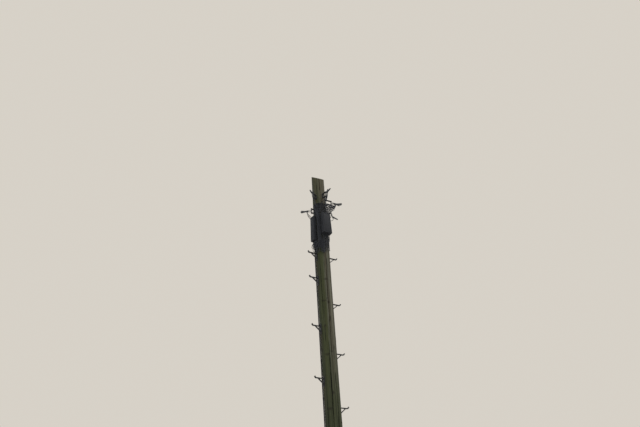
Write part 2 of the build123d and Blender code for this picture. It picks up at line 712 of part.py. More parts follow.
# Feed cable: from the ground up the pole and into the left box
print("feed_cable")
feed_low = off_pole(FEED_AZIMUTH, FEED_STAND_OFF, FEED_BOTTOM, FEED_RADIUS)
feed_high = off_pole(FEED_AZIMUTH, FEED_STAND_OFF, TOP_HEIGHT - FEED_LEAVES_DROP, FEED_RADIUS)
crossing_azimuth, crossing_stand_off, crossing_drop = FEED_CROSSING
feed = make_cable([feed_low, feed_high,
                   off_pole(crossing_azimuth, crossing_stand_off, TOP_HEIGHT - crossing_drop, FEED_RADIUS),
                   left_box.port(0, TOP_HEIGHT - FEED_TURN_DROP),
                   left_box.port(0, left_box.bottom + FEED_ENTRY)],
                  FEED_RADIUS, FEED_SIDES)
with BuildPart() as feed_cable:
    add(feed)
save(feed_cable, "feed_cable")


# Clips and guard: both sit astride the feed cable with their feet on the pole
def feed_plane(height):
    """The plane across the feed cable at a height, with x round the pole and y outward."""
    run = (feed_high - feed_low).normalized()
    return Plane(origin=feed_low + run * height, x_dir=outward(FEED_AZIMUTH).cross(run), z_dir=run)


def astride(height, room, wall, foot):
    """The section of a strap or channel over the feed cable, with a foot on each side."""
    inner = FEED_RADIUS + room
    outer = inner + wall
    down = inner + wall + SADDLE_DEPTH
    with BuildSketch(feed_plane(height)) as section:
        octagon(outer)
        with Locations((0, -down / 2)):
            Rectangle(2 * outer, down)
            Rectangle(2 * inner, down, mode=Mode.SUBTRACT)
        octagon(inner, Mode.SUBTRACT)
        for side in (-1, 1):
            with Locations((side * (outer + foot / 2 - wall / 2), -(down + FEED_RADIUS - wall) / 2)):
                Rectangle(foot + wall, down - FEED_RADIUS + wall)
    return section.sketch


guard_end = GUARD_FOOT + GUARD_LENGTH
clip_pitch = ((feed_high - feed_low).length - guard_end) / (CLIP_COUNT + 1)
clip_sections = [astride(guard_end + (number + 1) * clip_pitch, SEAT_GAP, CLIP_WALL, CLIP_FOOT)
                 for number in range(CLIP_COUNT)]
with BuildPart() as feed_clips:
    for section in clip_sections:
        extrude(section, amount=CLIP_HEIGHT)
    add(pole_room, mode=Mode.SUBTRACT)
save(feed_clips, "feed_clips")

with BuildPart() as cable_guard:
    extrude(astride(GUARD_FOOT, GUARD_ROOM, GUARD_WALL, GUARD_FLANGE), amount=GUARD_LENGTH)
    add(pole_room, mode=Mode.SUBTRACT)
save(cable_guard, "cable_guard")
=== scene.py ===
"""Looks of a wooden telephone pole with climbing steps, wire stirrups and terminal boxes.

Metres, +Z up, origin on the pole's axis at the ground line. A direction round the pole is an
azimuth in degrees: 0 points to -Y, 90 to +X and -90 to -X.
"""

import logging
import math
from dataclasses import dataclass
from enum import Enum
from functools import lru_cache
from typing import Dict, List, Optional, Sequence, Tuple, Union

import bmesh
import bpy
import numpy as np
from mathutils import Matrix, Vector


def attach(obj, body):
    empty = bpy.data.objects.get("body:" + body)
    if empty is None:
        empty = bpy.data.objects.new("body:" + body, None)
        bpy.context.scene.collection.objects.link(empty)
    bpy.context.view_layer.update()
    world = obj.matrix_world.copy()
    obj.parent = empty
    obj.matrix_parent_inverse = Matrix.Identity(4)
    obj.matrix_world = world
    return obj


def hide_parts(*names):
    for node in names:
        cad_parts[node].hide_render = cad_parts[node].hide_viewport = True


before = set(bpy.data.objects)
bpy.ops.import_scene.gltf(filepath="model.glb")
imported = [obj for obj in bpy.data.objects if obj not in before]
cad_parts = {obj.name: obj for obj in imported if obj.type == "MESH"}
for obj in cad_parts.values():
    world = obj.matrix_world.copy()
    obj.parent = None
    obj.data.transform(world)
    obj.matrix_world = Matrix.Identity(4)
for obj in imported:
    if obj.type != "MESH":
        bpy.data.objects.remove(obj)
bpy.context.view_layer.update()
log = logging.getLogger("pole")

Colour3 = Tuple[float, float, float]
Point2 = Tuple[float, float]
UP = Vector((0.0, 0.0, 1.0))
LEAST = 1e-5  # the least radius of a corner
PLAY = 0.0003  # the gap between pieces that lie against each other


class Slot(Enum):
    """The record's material slots."""

    WOOD = "pole_wood"
    STEEL = "galvanised_steel"
    CLAMP = "clamp_metal"
    BOX = "box_plastic"
    TERMINAL = "terminal_plastic"
    SHEATH = "cable_sheath"
    GUARD = "guard_plastic"


class Body(Enum):
    """The rigid bodies that pieces ride on."""

    POLE = "pole_body"
    FRONT_COVER = "front_cover"
    LEFT_COVER = "left_cover"


# Shader graph


class Signal:
    """A number that varies over a surface. Arithmetic on it adds Math nodes."""

    def __init__(self, paint: "Paint", socket: bpy.types.NodeSocket) -> None:
        """Wrap an output socket of a paint's graph."""
        self.paint = paint
        self.socket = socket

    def apply(self, operation: str, *values: "Number") -> "Signal":
        """Add one Math node for an operation on some values."""
        return self.paint.number("ShaderNodeMath", {"operation": operation}, dict(enumerate(values)))

    def at_least(self, other: "Number") -> "Signal":
        """The larger of two values."""
        return self.apply("MAXIMUM", self, other)

    def sine(self) -> "Signal":
        """Its sine."""
        return self.apply("SINE", self)

    def rise(self, low: float, high: float) -> "Signal":
        """A smooth step from 0 at low to 1 at high; high may be the smaller, for a fall."""
        values = {"Value": self, "From Min": low, "From Max": high}
        return self.paint.number("ShaderNodeMapRange", {"interpolation_type": "SMOOTHSTEP"}, values)


def _give_arithmetic() -> None:
    """Let an operator with a signal on either side add the Math node of its operation."""
    for operator, operation in (("add", "ADD"), ("sub", "SUBTRACT"), ("mul", "MULTIPLY"),
                                ("truediv", "DIVIDE"), ("pow", "POWER")):
        setattr(Signal, f"__{operator}__", lambda self, other, kind=operation: self.apply(kind, self, other))
        setattr(Signal, f"__r{operator}__", lambda self, other, kind=operation: self.apply(kind, other, self))


_give_arithmetic()
Number = Union[float, Signal]
Input = Union[float, Sequence[float], Signal, bpy.types.NodeSocket]


class Graph:
    """A node graph of a material or of the world."""

    def __init__(self, tree: bpy.types.NodeTree) -> None:
        """Start with no nodes."""
        self.tree = tree
        tree.nodes.clear()

    def node(self, kind: str, settings: Optional[Dict[str, object]] = None,
             inputs: Optional[Dict[Union[str, int], Input]] = None) -> bpy.types.Node:
        """Add a node.

        Args:
            kind: the node's type.
            settings: its settings.
            inputs: values or links for its sockets, by name or number.

        Returns:
            The node.
        """
        made = self.tree.nodes.new(kind)
        for name, value in (settings or {}).items():
            setattr(made, name, value)
        for name, value in (inputs or {}).items():
            if isinstance(value, Signal):
                value = value.socket
            if isinstance(value, bpy.types.NodeSocket):
                self.tree.links.new(value, made.inputs[name])
            else:
                made.inputs[name].default_value = value
        return made


class Paint(Graph):
    """One material and its node graph."""

    def __init__(self, name: str) -> None:
        """Start an empty material of a name."""
        self.material = bpy.data.materials.new(name)
        self.material.use_nodes = True
        super().__init__(self.material.node_tree)
        self.place = self.node("ShaderNodeTexCoord").outputs["Object"]

    def number(self, kind: str, settings: Dict[str, object], inputs: Dict[Union[str, int], Input],
               output: Union[str, int] = 0) -> Signal:
        """Add a node and give the value of one of its outputs."""
        return Signal(self, self.node(kind, settings, inputs).outputs[output])

    def stretched(self, x: float, y: float, z: float) -> bpy.types.NodeSocket:
        """The place on the surface with each axis multiplied."""
        inputs = {0: self.place, 1: (x, y, z)}
        return self.node("ShaderNodeVectorMath", {"operation": "MULTIPLY"}, inputs).outputs[0]

    def noise(self, scale: Tuple[float, float, float], detail: float = 4.0, rough: float = 0.55,
              warp: float = 0.0) -> Signal:
        """Fractal noise about 0.5, with its cycles per metre along each axis."""
        inputs = {"Vector": self.stretched(*scale), "Scale": 1.0, "Detail": detail,
                  "Roughness": rough, "Distortion": warp}
        return self.number("ShaderNodeTexNoise", {}, inputs, "Fac")

    def cells(self, scale: Tuple[float, float, float]) -> Signal:
        """Distance to the nearest of scattered points, 0 at a point and about 1 between them."""
        inputs = {"Vector": self.stretched(*scale), "Scale": 1.0}
        return self.number("ShaderNodeTexVoronoi", {}, inputs, "Distance")

    def axis(self, name: str) -> Signal:
        """One coordinate of the place on the surface, X, Y or Z."""
        return self.number("ShaderNodeSeparateXYZ", {}, {0: self.place}, name)

    def toward(self, azimuth: float) -> Signal:
        """How far the place lies toward an azimuth, about 1 on the pole's side that faces it."""
        way = outward(azimuth) / 0.11
        return self.axis("X") * way.x + self.axis("Y") * way.y

    def stored(self, name: str) -> Signal:
        """A value stored on the mesh's points."""
        return self.number("ShaderNodeAttribute", {"attribute_name": name}, {}, "Fac")

    def facing_up(self) -> Signal:
        """How far the surface faces up, 1 for level tops and -1 for undersides."""
        normal = self.node("ShaderNodeNewGeometry").outputs["Normal"]
        return self.number("ShaderNodeSeparateXYZ", {}, {0: normal}, "Z")

    def mix(self, share: Number, first: Input, second: Input) -> bpy.types.NodeSocket:
        """Mix two colours or colour sockets, with the share of the second."""
        ends = [value if isinstance(value, bpy.types.NodeSocket) else (*value, 1.0)
                for value in (first, second)]
        inputs = {0: share, 6: ends[0], 7: ends[1]}
        return self.node("ShaderNodeMix", {"data_type": "RGBA"}, inputs).outputs[2]

    def finish(self, colour: Input, rough: Number, height: Optional[Signal] = None, depth: float = 0.001,
               metallic: Number = 0.0, specular: float = 0.5) -> bpy.types.Material:
        """Close the graph with a surface.

        Args:
            colour: the base colour.
            rough: the roughness.
            height: the relief between 0 and 1.
            depth: what a relief of 1 is, in metres.
            metallic: how metallic the surface is.
            specular: the specular level.

        Returns:
            The material.
        """
        if not isinstance(colour, bpy.types.NodeSocket):
            colour = (*colour, 1.0)
        inputs = {"Base Color": colour, "Roughness": rough, "Metallic": metallic,
                  "Specular IOR Level": specular}
        if height is not None:
            relief = {"Height": height, "Distance": depth, "Strength": 1.0}
            inputs["Normal"] = self.node("ShaderNodeBump", {}, relief).outputs[0]
        surface = self.node("ShaderNodeBsdfPrincipled", {}, inputs)
        self.node("ShaderNodeOutputMaterial", {}, {"Surface": surface.outputs[0]})
        return self.material


# Finishes


@dataclass(frozen=True)
class WeatheredWood:
    """The pole's side: grey and brown wood under green algae, with knots and stains, painted shade in its
    checks and down its left and right edges, and darker lower down.
    """

    grey: Colour3 = (0.150, 0.146, 0.106)
    brown: Colour3 = (0.086, 0.072, 0.045)
    algae: Colour3 = (0.043, 0.050, 0.018)
    # Dark grain colour, also used for the painted shade down the pole's left and right edges and lower down.
    grain_dark_and_shade: Colour3 = (0.016, 0.018, 0.011)
    # Near-black painted shade for the drying checks.
    crack_shade: Colour3 = (0.005, 0.0045, 0.004)
    rust: Colour3 = (0.060, 0.030, 0.014)
    silver: Colour3 = (0.22, 0.22, 0.18)
    lichen: Colour3 = (0.10, 0.125, 0.055)
    knot: Colour3 = (0.020, 0.016, 0.011)
    fibre_depth: float = 0.0022
    algae_azimuth: float = -80.0
    # Centre of the painted shade down the pole's left edge.
    left_shade_azimuth: float = -118.0
    # Centre of the painted shade down the pole's right edge.
    right_shade_azimuth: float = 78.0

    @lru_cache(maxsize=None)
    def make(self) -> bpy.types.Material:
        """Build the material, or give the one that was built before."""
        paint = Paint("weathered_wood")
        facing = paint.toward(self.algae_azimuth)
        height = paint.axis("Z")
        fibre = paint.noise((70.0, 70.0, 0.9), 6.0, 0.62, 0.4)
        fine = paint.noise((330.0, 330.0, 5.0), 4.0, 0.6)
        streak = paint.noise((26.0, 26.0, 0.45), 4.0, 0.55)
        patch = paint.noise((5.0, 5.0, 1.3), 5.0, 0.6)
        speck = paint.noise((90.0, 90.0, 60.0), 3.0, 0.6)
        wood = paint.mix(streak.rise(0.35, 0.65), self.brown, self.grey)
        bare = (height.rise(6.9, 7.4) * 0.8).at_least(facing.rise(0.05, -0.45) * 0.75)
        wood = paint.mix(bare, wood, self.brown)
        cover = (facing * 1.6 + patch * 0.9 - 0.89).rise(0.12, 0.78).at_least(height.rise(4.8, 3.9) * 0.95)
        cover = cover * (1.0 - height.rise(7.05, 7.45) * 0.55)
        wood = paint.mix(cover * (0.68 + 0.32 * fibre), wood, self.algae)
        # Painted shade down the pole's left edge, and darker within 0.7 m of the ground.
        edge = paint.toward(self.left_shade_azimuth).rise(0.45, 1.0) * 0.8 + height.rise(0.7, 0.0) * 0.55
        wood = paint.mix(edge * patch.rise(0.25, 0.7), wood, self.grain_dark_and_shade)
        # Painted shade down the pole's right edge, and darker all round below about 4.5 m.
        right_edge_shade = paint.toward(self.right_shade_azimuth).rise(0.40, 0.85) * 0.45
        wood = paint.mix(right_edge_shade.at_least(height.rise(4.5, 3.8) * 0.22), wood, self.grain_dark_and_shade)
        wood = paint.mix(fibre.rise(0.54, 0.36) * 0.62, wood, self.grain_dark_and_shade)
        wood = paint.mix(fine.rise(0.60, 0.74) * 0.30, wood, self.silver)
        wood = paint.mix(speck.rise(0.62, 0.74) * 0.35 * cover, wood, self.lichen)
        wood = paint.mix(paint.stored("stain") * (0.35 + 0.65 * streak), wood, self.rust)
        wood = paint.mix(paint.stored("knot"), wood, self.knot)
        # Painted shade inside the drying checks, from the stored check mask.
        wood = paint.mix(paint.stored("check").rise(0.04, 0.55), wood, self.crack_shade)
        rough = 0.78 + 0.14 * fibre
        return paint.finish(wood, rough, fibre * 0.75 + fine * 0.25, self.fibre_depth, specular=0.15)


@dataclass(frozen=True)
class EndGrain:
    """The slanted roof cut: growth rings, weathered grey and painted shade in its radial checks."""

    light: Colour3 = (0.125, 0.115, 0.085)
    dark: Colour3 = (0.040, 0.036, 0.024)
    moss: Colour3 = (0.045, 0.058, 0.022)
    # Near-black painted shade for the roof's splits.
    crack_shade: Colour3 = (0.008, 0.007, 0.006)
    ring: float = 0.0052
    heart: Point2 = (-0.006, 0.004)

    @lru_cache(maxsize=None)
    def make(self) -> bpy.types.Material:
        """Build the material, or give the one that was built before."""
        paint = Paint("end_grain")
        wobble = paint.noise((14.0, 14.0, 14.0), 3.0, 0.5)
        across = paint.axis("X") - self.heart[0]
        along = paint.axis("Y") - self.heart[1]
        distance = (across * across + along * along) ** 0.5 + wobble * 0.010
        rings = (distance * (2.0 * math.pi / self.ring)).sine() * 0.5 + 0.5
        patch = paint.noise((28.0, 28.0, 28.0), 4.0, 0.6)
        wood = paint.mix(rings * 0.7 + 0.15, self.light, self.dark)
        wood = paint.mix(patch.rise(0.42, 0.66) * 0.8, wood, self.moss)
        # Painted shade inside the roof's splits.
        wood = paint.mix(paint.stored("check").rise(0.04, 0.4), wood, self.crack_shade)
        return paint.finish(wood, 0.85, rings * 0.6 + patch * 0.4, 0.0012, specular=0.25)


@dataclass(frozen=True)
class Metal:
    """Weathered metal: mottled zinc, dirt and rust."""

    name: str
    base: Colour3
    dirt: Colour3
    rust: Colour3 = (0.075, 0.034, 0.016)
    rust_share: float = 0.35
    metallic: float = 0.55
    rough: float = 0.5

    @lru_cache(maxsize=None)
    def make(self) -> bpy.types.Material:
        """Build the material, or give the one that was built before."""
        paint = Paint(self.name)
        spangle = paint.cells((160.0, 160.0, 160.0))
        cloud = paint.noise((38.0, 38.0, 38.0), 5.0, 0.62)
        grit = paint.noise((420.0, 420.0, 420.0), 3.0, 0.6)
        run = paint.noise((95.0, 95.0, 9.0), 3.0, 0.5)
        metal = paint.mix(spangle.rise(0.1, 0.8) * 0.45, self.base, self.dirt)
        metal = paint.mix(cloud.rise(0.42, 0.68) * 0.75, metal, self.dirt)
        spots = (cloud * 0.6 + grit * 0.55 + run * 0.25).rise(0.72, 0.86) * self.rust_share
        metal = paint.mix(spots, metal, self.rust)
        rough = self.rough + cloud * 0.18 + spots * 0.2
        return paint.finish(metal, rough, grit * 0.5 + cloud * 0.5, 0.0004,
                            metallic=self.metallic * (1.0 - spots))


@dataclass(frozen=True)
class Moulding:
    """Moulded plastic: a fine grain, dust on upper faces, rain runs and a bleached film."""

    name: str
    base: Colour3
    film: Colour3
    dust: Colour3 = (0.12, 0.12, 0.10)
    rough: float = 0.50
    grain: float = 0.00025
    specular: float = 0.3

    @lru_cache(maxsize=None)
    def make(self) -> bpy.types.Material:
        """Build the material, or give the one that was built before."""
        paint = Paint(self.name)
        cloud = paint.noise((16.0, 16.0, 9.0), 5.0, 0.6)
        run = paint.noise((70.0, 70.0, 2.2), 4.0, 0.55)
        grain = paint.noise((900.0, 900.0, 900.0), 2.0, 0.5)
        scuff = paint.noise((45.0, 45.0, 180.0), 3.0, 0.6)
        tint = paint.mix(cloud.rise(0.3, 0.75) * 0.8, self.base, self.film)
        tint = paint.mix(run.rise(0.56, 0.72) * 0.35, tint, self.dust)
        top = paint.facing_up().rise(0.35, 0.95)
        tint = paint.mix(top * (0.35 + 0.4 * cloud), tint, self.dust)
        tint = paint.mix(scuff.rise(0.70, 0.78) * 0.3, tint, self.dust)
        rough = self.rough + cloud * 0.14 + top * 0.15
        return paint.finish(tint, rough, grain * 0.6 + cloud * 0.4, self.grain, specular=self.specular)


class Finish(Enum):
    """The finishes that pieces are dressed in."""

    WOOD = WeatheredWood()
    END_GRAIN = EndGrain()
    # Near black: partly weathered zinc and partly painted shade on the steps, stirrups and clips.
    STEEL = Metal("galvanised_steel", (0.018, 0.0176, 0.0172), (0.007, 0.0067, 0.0063),
                  metallic=0.1, rough=0.65)
    BOLT = Metal("bolt_steel", (0.050, 0.048, 0.045), (0.018, 0.016, 0.014), rust_share=0.6, metallic=0.2)
    CLAMP = Metal("clamp_metal", (0.075, 0.076, 0.076), (0.028, 0.028, 0.027), rust_share=0.12, metallic=0.3)
    BOX = Moulding("box_plastic", (0.0120, 0.0124, 0.0142), (0.0210, 0.0214, 0.0240),
                   dust=(0.050, 0.050, 0.046), rough=0.60, specular=0.2)
    SHEATH = Moulding("cable_sheath", (0.0310, 0.0317, 0.0350), (0.0510, 0.0518, 0.0560),
                      dust=(0.045, 0.045, 0.042), rough=0.58, grain=0.00012, specular=0.12)
    # Darker copy of the cable sheath, without specular: painted shade down the pole's left edge, where the
    # feed cable runs.
    SHADED_FEED = Moulding("shaded_feed_sheath", (0.0040, 0.0041, 0.0046), (0.0080, 0.0081, 0.0088),
                    dust=(0.014, 0.014, 0.013), rough=0.62, grain=0.00012, specular=0.0)
    CORE = Moulding("core_insulation", (0.30, 0.28, 0.22), (0.40, 0.38, 0.31),
                    dust=(0.22, 0.21, 0.18), rough=0.45, grain=0.0001)
    RUBBER = Moulding("entry_rubber", (0.014, 0.014, 0.015), (0.024, 0.024, 0.025),
                      dust=(0.05, 0.05, 0.045), rough=0.62)
    TERMINAL = Moulding("terminal_plastic", (0.42, 0.42, 0.39), (0.52, 0.52, 0.48),
                        dust=(0.30, 0.29, 0.25), rough=0.38)
    GUARD = Moulding("guard_plastic", (0.085, 0.090, 0.082), (0.125, 0.130, 0.118),
                     dust=(0.16, 0.16, 0.13), rough=0.55)


# Geometry


def outward(azimuth: float) -> Vector:
    """The level unit vector that points away from the pole at an azimuth."""
    angle = math.radians(azimuth)
    return Vector((math.sin(angle), -math.cos(angle), 0.0))


def around(azimuth: float, distance: float, height: float) -> Vector:
    """A point by azimuth, distance from the pole's axis and height."""
    return outward(azimuth) * distance + UP * height


def arc(radius: float, start: float, end: float, steps: int, centre: Point2 = (0.0, 0.0)) -> List[Point2]:
    """Points on a circle between two angles, which are given in half turns."""
    turns = [math.pi * (start + (end - start) * n / steps) for n in range(steps + 1)]
    return [(centre[0] + radius * math.cos(turn), centre[1] + radius * math.sin(turn)) for turn in turns]


def circle(radius: float, sides: int) -> List[Point2]:
    """A circle's points, anticlockwise."""
    return arc(radius, 0.0, 2.0, sides)[:-1]


def rounded(width: float, height: float, radius: float, steps: int = 3) -> List[Point2]:
    """A rectangle with round corners, anticlockwise.

    Args:
        width: its size along the first axis.
        height: its size along the second.
        radius: the corners' radius.
        steps: the number of edges in each corner.

    Returns:
        Its points.
    """
    radius = max(min(radius, width / 2 - LEAST, height / 2 - LEAST), LEAST)
    points = []
    for corner, (a, b) in enumerate(((1, 1), (-1, 1), (-1, -1), (1, -1))):
        centre = (a * (width / 2 - radius), b * (height / 2 - radius))
        points += arc(radius, corner / 2, (corner + 1) / 2, steps, centre)
    return points


def apart(angle: np.ndarray, other: Union[float, np.ndarray]) -> np.ndarray:
    """The signed difference of angles in radians, within half a turn."""
    return (angle - other + math.pi) % (2 * math.pi) - math.pi


def neighbours(line: Sequence[Vector], number: int) -> Vector:
    """The direction of a line at one of its points, from the point before to the point after."""
    return (line[min(number + 1, len(line) - 1)] - line[max(number - 1, 0)]).normalized()


def bent(points: Sequence[Vector], radius: float, steps: int = 6) -> List[Vector]:
    """A bar's line with its inner corners rounded.

    Args:
        points: the corners.
        radius: the bends' radius.
        steps: the number of edges in each bend.

    Returns:
        The line's points.
    """
    line = [points[0]]
    for before, corner, after in zip(points, points[1:], points[2:]):
        back = (before - corner).normalized()
        on = (after - corner).normalized()
        half = back.angle(on) / 2
        reach = radius / math.tan(half)
        centre = corner + (back + on).normalized() * (radius / math.sin(half))
        first = (corner + back * reach - centre).normalized()
        last = (corner + on * reach - centre).normalized()
        line += [centre + first.slerp(last, n / steps) * radius for n in range(steps + 1)]
    line.append(points[-1])
    return line


@dataclass(frozen=True)
class Axes:
    """A place with three directions of its own."""

    origin: Vector
    x: Vector
    y: Vector
    z: Vector

    def at(self, x: float, y: float, z: float = 0.0) -> Vector:
        """A point given in these axes."""
        return self.origin + self.x * x + self.y * y + self.z * z

    def moved(self, x: float, y: float, z: float = 0.0) -> "Axes":
        """The same directions at another point of these axes."""
        return Axes(self.at(x, y, z), self.x, self.y, self.z)

    @staticmethod
    def facing(origin: Vector, z: Vector, x: Vector) -> "Axes":
        """Axes with a given normal and a first direction near to the given one."""
        z = z.normalized()
        x = (x - z * x.dot(z)).normalized()
        return Axes(origin, x, z.cross(x), z)


class Form:
    """A mesh under construction in the row frame, with a material number on each face."""

    def __init__(self) -> None:
        """Start an empty mesh."""
        self.mesh = bmesh.new()

    def skin(self, rings: Sequence[Sequence[Vector]], material: int = 0, caps: bool = True,
             closed: bool = True) -> None:
        """Join rings of points into a surface.

        Args:
            rings: the rings, with equal numbers of points.
            material: the faces' material number.
            caps: whether the first and last rings are filled.
            closed: whether each ring closes on itself.
        """
        made = [[self.mesh.verts.new(point) for point in ring] for ring in rings]
        count = len(made[0])
        for low, high in zip(made, made[1:]):
            for n in range(count if closed else count - 1):
                m = (n + 1) % count
                self.mesh.faces.new((low[n], low[m], high[m], high[n])).material_index = material
        if caps:
            self.mesh.faces.new(list(reversed(made[0]))).material_index = material
            self.mesh.faces.new(made[-1]).material_index = material

    def stack(self, axes: Axes, layers: Sequence[Tuple[Sequence[Point2], float]], material: int = 0,
              caps: bool = True) -> None:
        """Join flat outlines at heights along the axes' z."""
        self.skin([[axes.at(a, b, height) for a, b in outline] for outline, height in layers], material, caps)

    def block(self, axes: Axes, width: float, height: float, depth: float, edge: float,
              corner: Optional[float] = None, material: int = 0, steps: int = 3) -> None:
        """A slab with round corners and softened edges, from the axes' plane along z.

        Args:
            axes: the centre of its back.
            width: its size along x.
            height: its size along y.
            depth: its size along z.
            edge: the softening of its edges.
            corner: the corners' radius seen along z.
            material: the faces' material number.
            steps: the number of edges in each corner.
        """
        corner = edge if corner is None else corner
        layers = []
        for inset, rise in ((edge, 0.0), (edge * 0.3, edge * 0.3), (0.0, edge),
                            (0.0, depth - edge), (edge * 0.3, depth - edge * 0.3), (edge, depth)):
            outline = rounded(width - 2 * inset, height - 2 * inset, max(corner - inset, 1e-4), steps)
            layers.append((outline, rise))
        self.stack(axes, layers, material)

    def turned(self, axes: Axes, profile: Sequence[Point2], sides: int = 24, material: int = 0,
               caps: bool = True) -> None:
        """A turned piece round the axes' z, from radii with their heights."""
        self.stack(axes, [(circle(radius, sides), height) for radius, height in profile], material, caps)

    def hexagon(self, axes: Axes, radius: float, height: float, material: int = 0) -> None:
        """A hexagon head or nut with a washer under it.

        Args:
            axes: the centre of its seat, with z away from the seat.
            radius: the corner radius.
            height: its height with the washer.
            material: the faces' material number.
        """
        washer = height * 0.22
        self.turned(axes, [(radius * 1.22, 0.0), (radius * 1.28, washer * 0.3), (radius * 1.28, washer * 0.7),
                           (radius * 1.2, washer)], 24, material)
        self.stack(axes, [(circle(radius, 6), washer), (circle(radius, 6), height * 0.84),
                          (circle(radius * 0.9, 6), height)], material)

    def screw(self, axes: Axes, radius: float, height: float, material: int = 0) -> None:
        """A domed screw head with a cross recess.

        Args:
            axes: the centre of its seat.
            radius: its radius.
            height: its height.
            material: the faces' material number.
        """
        self.turned(axes, [(radius, 0.0), (radius, height * 0.35), (radius * 0.86, height * 0.75),
                           (radius * 0.5, height)], 16, material)
        for turned in (axes, Axes(axes.origin, axes.y, -axes.x, axes.z)):
            self.stack(turned, [(rounded(radius * 0.9, radius * 0.22, 1e-4, 1), height * 0.98),
                                (rounded(radius * 0.8, radius * 0.16, 1e-4, 1), height * 1.06)], material + 1)

    def bar(self, line: Sequence[Vector], side: Vector, width: float, thickness: float, edge: float,
            shares: Sequence[float] = ()) -> None:
        """A flat bar along a bent line that lies in one plane.

        Args:
            line: the points along its middle.
            side: the unit vector across its width.
            width: its size along side.
            thickness: its other size.
            edge: the softening of its edges.
            shares: each point's share of the width, if it changes.
        """
        rings = []
        section = rounded(width, thickness, edge, 2)
        for n, point in enumerate(line):
            normal = neighbours(line, n).cross(side)
            narrow = shares[n] if shares else 1.0
            rings.append([point + side * (a * narrow) + normal * b for a, b in section])
        self.skin(rings)

    def tube(self, line: Sequence[Vector], radius: float, sides: int, material: int = 0) -> None:
        """A round wire or rod along a line.

        Args:
            line: the points along its middle.
            radius: its radius.
            sides: the number of sides.
            material: the faces' material number.
        """
        rings = []
        across = neighbours(line, 0).orthogonal()
        for n, point in enumerate(line):
            along = neighbours(line, n)
            across = (across - along * across.dot(along)).normalized()
            other = along.cross(across)
            rings.append([point + across * a + other * b for a, b in circle(radius, sides)])
        self.skin(rings, material)

    def piece(self, name: str, finishes: Sequence[Finish], slot: Slot, body: Body = Body.POLE,
              solid: Optional[str] = "", angle: float = 38.0) -> bpy.types.Object:
        """Close the mesh into an object that rides on a body.

        Args:
            name: the object's name.
            finishes: its finishes by material number.
            slot: not used.
            body: the body that it rides on.
            solid: the solid that it replaces, as for placed().
            angle: the edge angle above which shading breaks.

        Returns:
            The object.
        """
        bmesh.ops.remove_doubles(self.mesh, verts=self.mesh.verts, dist=1e-7)
        bmesh.ops.recalc_face_normals(self.mesh, faces=self.mesh.faces)
        limit = math.radians(angle)
        for face in self.mesh.faces:
            face.smooth = True
        for edge in self.mesh.edges:
            edge.smooth = len(edge.link_faces) == 2 and edge.calc_face_angle(0.0) < limit
        data = bpy.data.meshes.new(name)
        self.mesh.to_mesh(data)
        self.mesh.free()
        return placed(name, data, finishes, body, solid)


def linked(name: str, data: bpy.types.ID) -> bpy.types.Object:
    """A new object in the scene, with its data."""
    made = bpy.data.objects.new(name, data)
    bpy.context.scene.collection.objects.link(made)
    return made


def placed(name: str, data: bpy.types.ID, finishes: Sequence[Finish], body: Body,
           solid: Optional[str] = "") -> bpy.types.Object:
    """Make an object of a mesh or curve, dress it and let it ride on a body.

    Args:
        name: the object's name.
        data: its mesh or curve.
        finishes: its finishes by material number.
        body: the body that it rides on.
        solid: the solid that it replaces, empty for the one of its own name, or None.

    Returns:
        The object.
    """
    made = linked(name, data)
    for finish in finishes:
        made.data.materials.append(finish.value.make())
    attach(made, body.value)
    if solid is not None:
        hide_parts(solid or name)
    log.info("%s rides on %s", made.name, body.value)
    return made


# The pole


@dataclass(frozen=True)
class Check:
    """A drying check: azimuth in degrees, middle height, length, and width and depth at the middle."""

    azimuth: float
    middle: float
    length: float
    width: float
    depth: float = 0.015
    lean: float = 0.0


# Those that the solids have too
MAIN_CHECKS = [Check(*values) for values in (
    (-20.0, 7.430, 0.260, 0.0050), (-49.0, 7.370, 0.230, 0.0040), (-58.0, 5.550, 0.900, 0.0050),
    (-12.0, 5.250, 1.400, 0.0050), (-30.0, 4.150, 1.300, 0.0060), (-70.0, 3.700, 0.800, 0.0050),
    (8.0, 3.850, 1.000, 0.0050), (40.0, 4.900, 1.300, 0.0050), (125.0, 5.850, 1.200, 0.0050),
    (158.0, 4.400, 1.600, 0.0060), (-152.0, 5.100, 1.400, 0.0050), (170.0, 7.250, 0.420, 0.0050),
    (60.0, 2.300, 1.500, 0.0050), (-25.0, 1.900, 1.500, 0.0060), (140.0, 1.700, 1.300, 0.0050),
    (-165.0, 2.500, 1.200, 0.0050), (-60.0, 0.900, 1.000, 0.0050), (20.0, 0.750, 0.900, 0.0050))]
# Azimuth, and the share of the roof's radius where the split ends
ROOF_SPLITS = ((-20, 0.2), (-47, 0.35), (70, 0.3), (150, 0.25), (-130, 0.4), (20, 0.5), (110, 0.55))


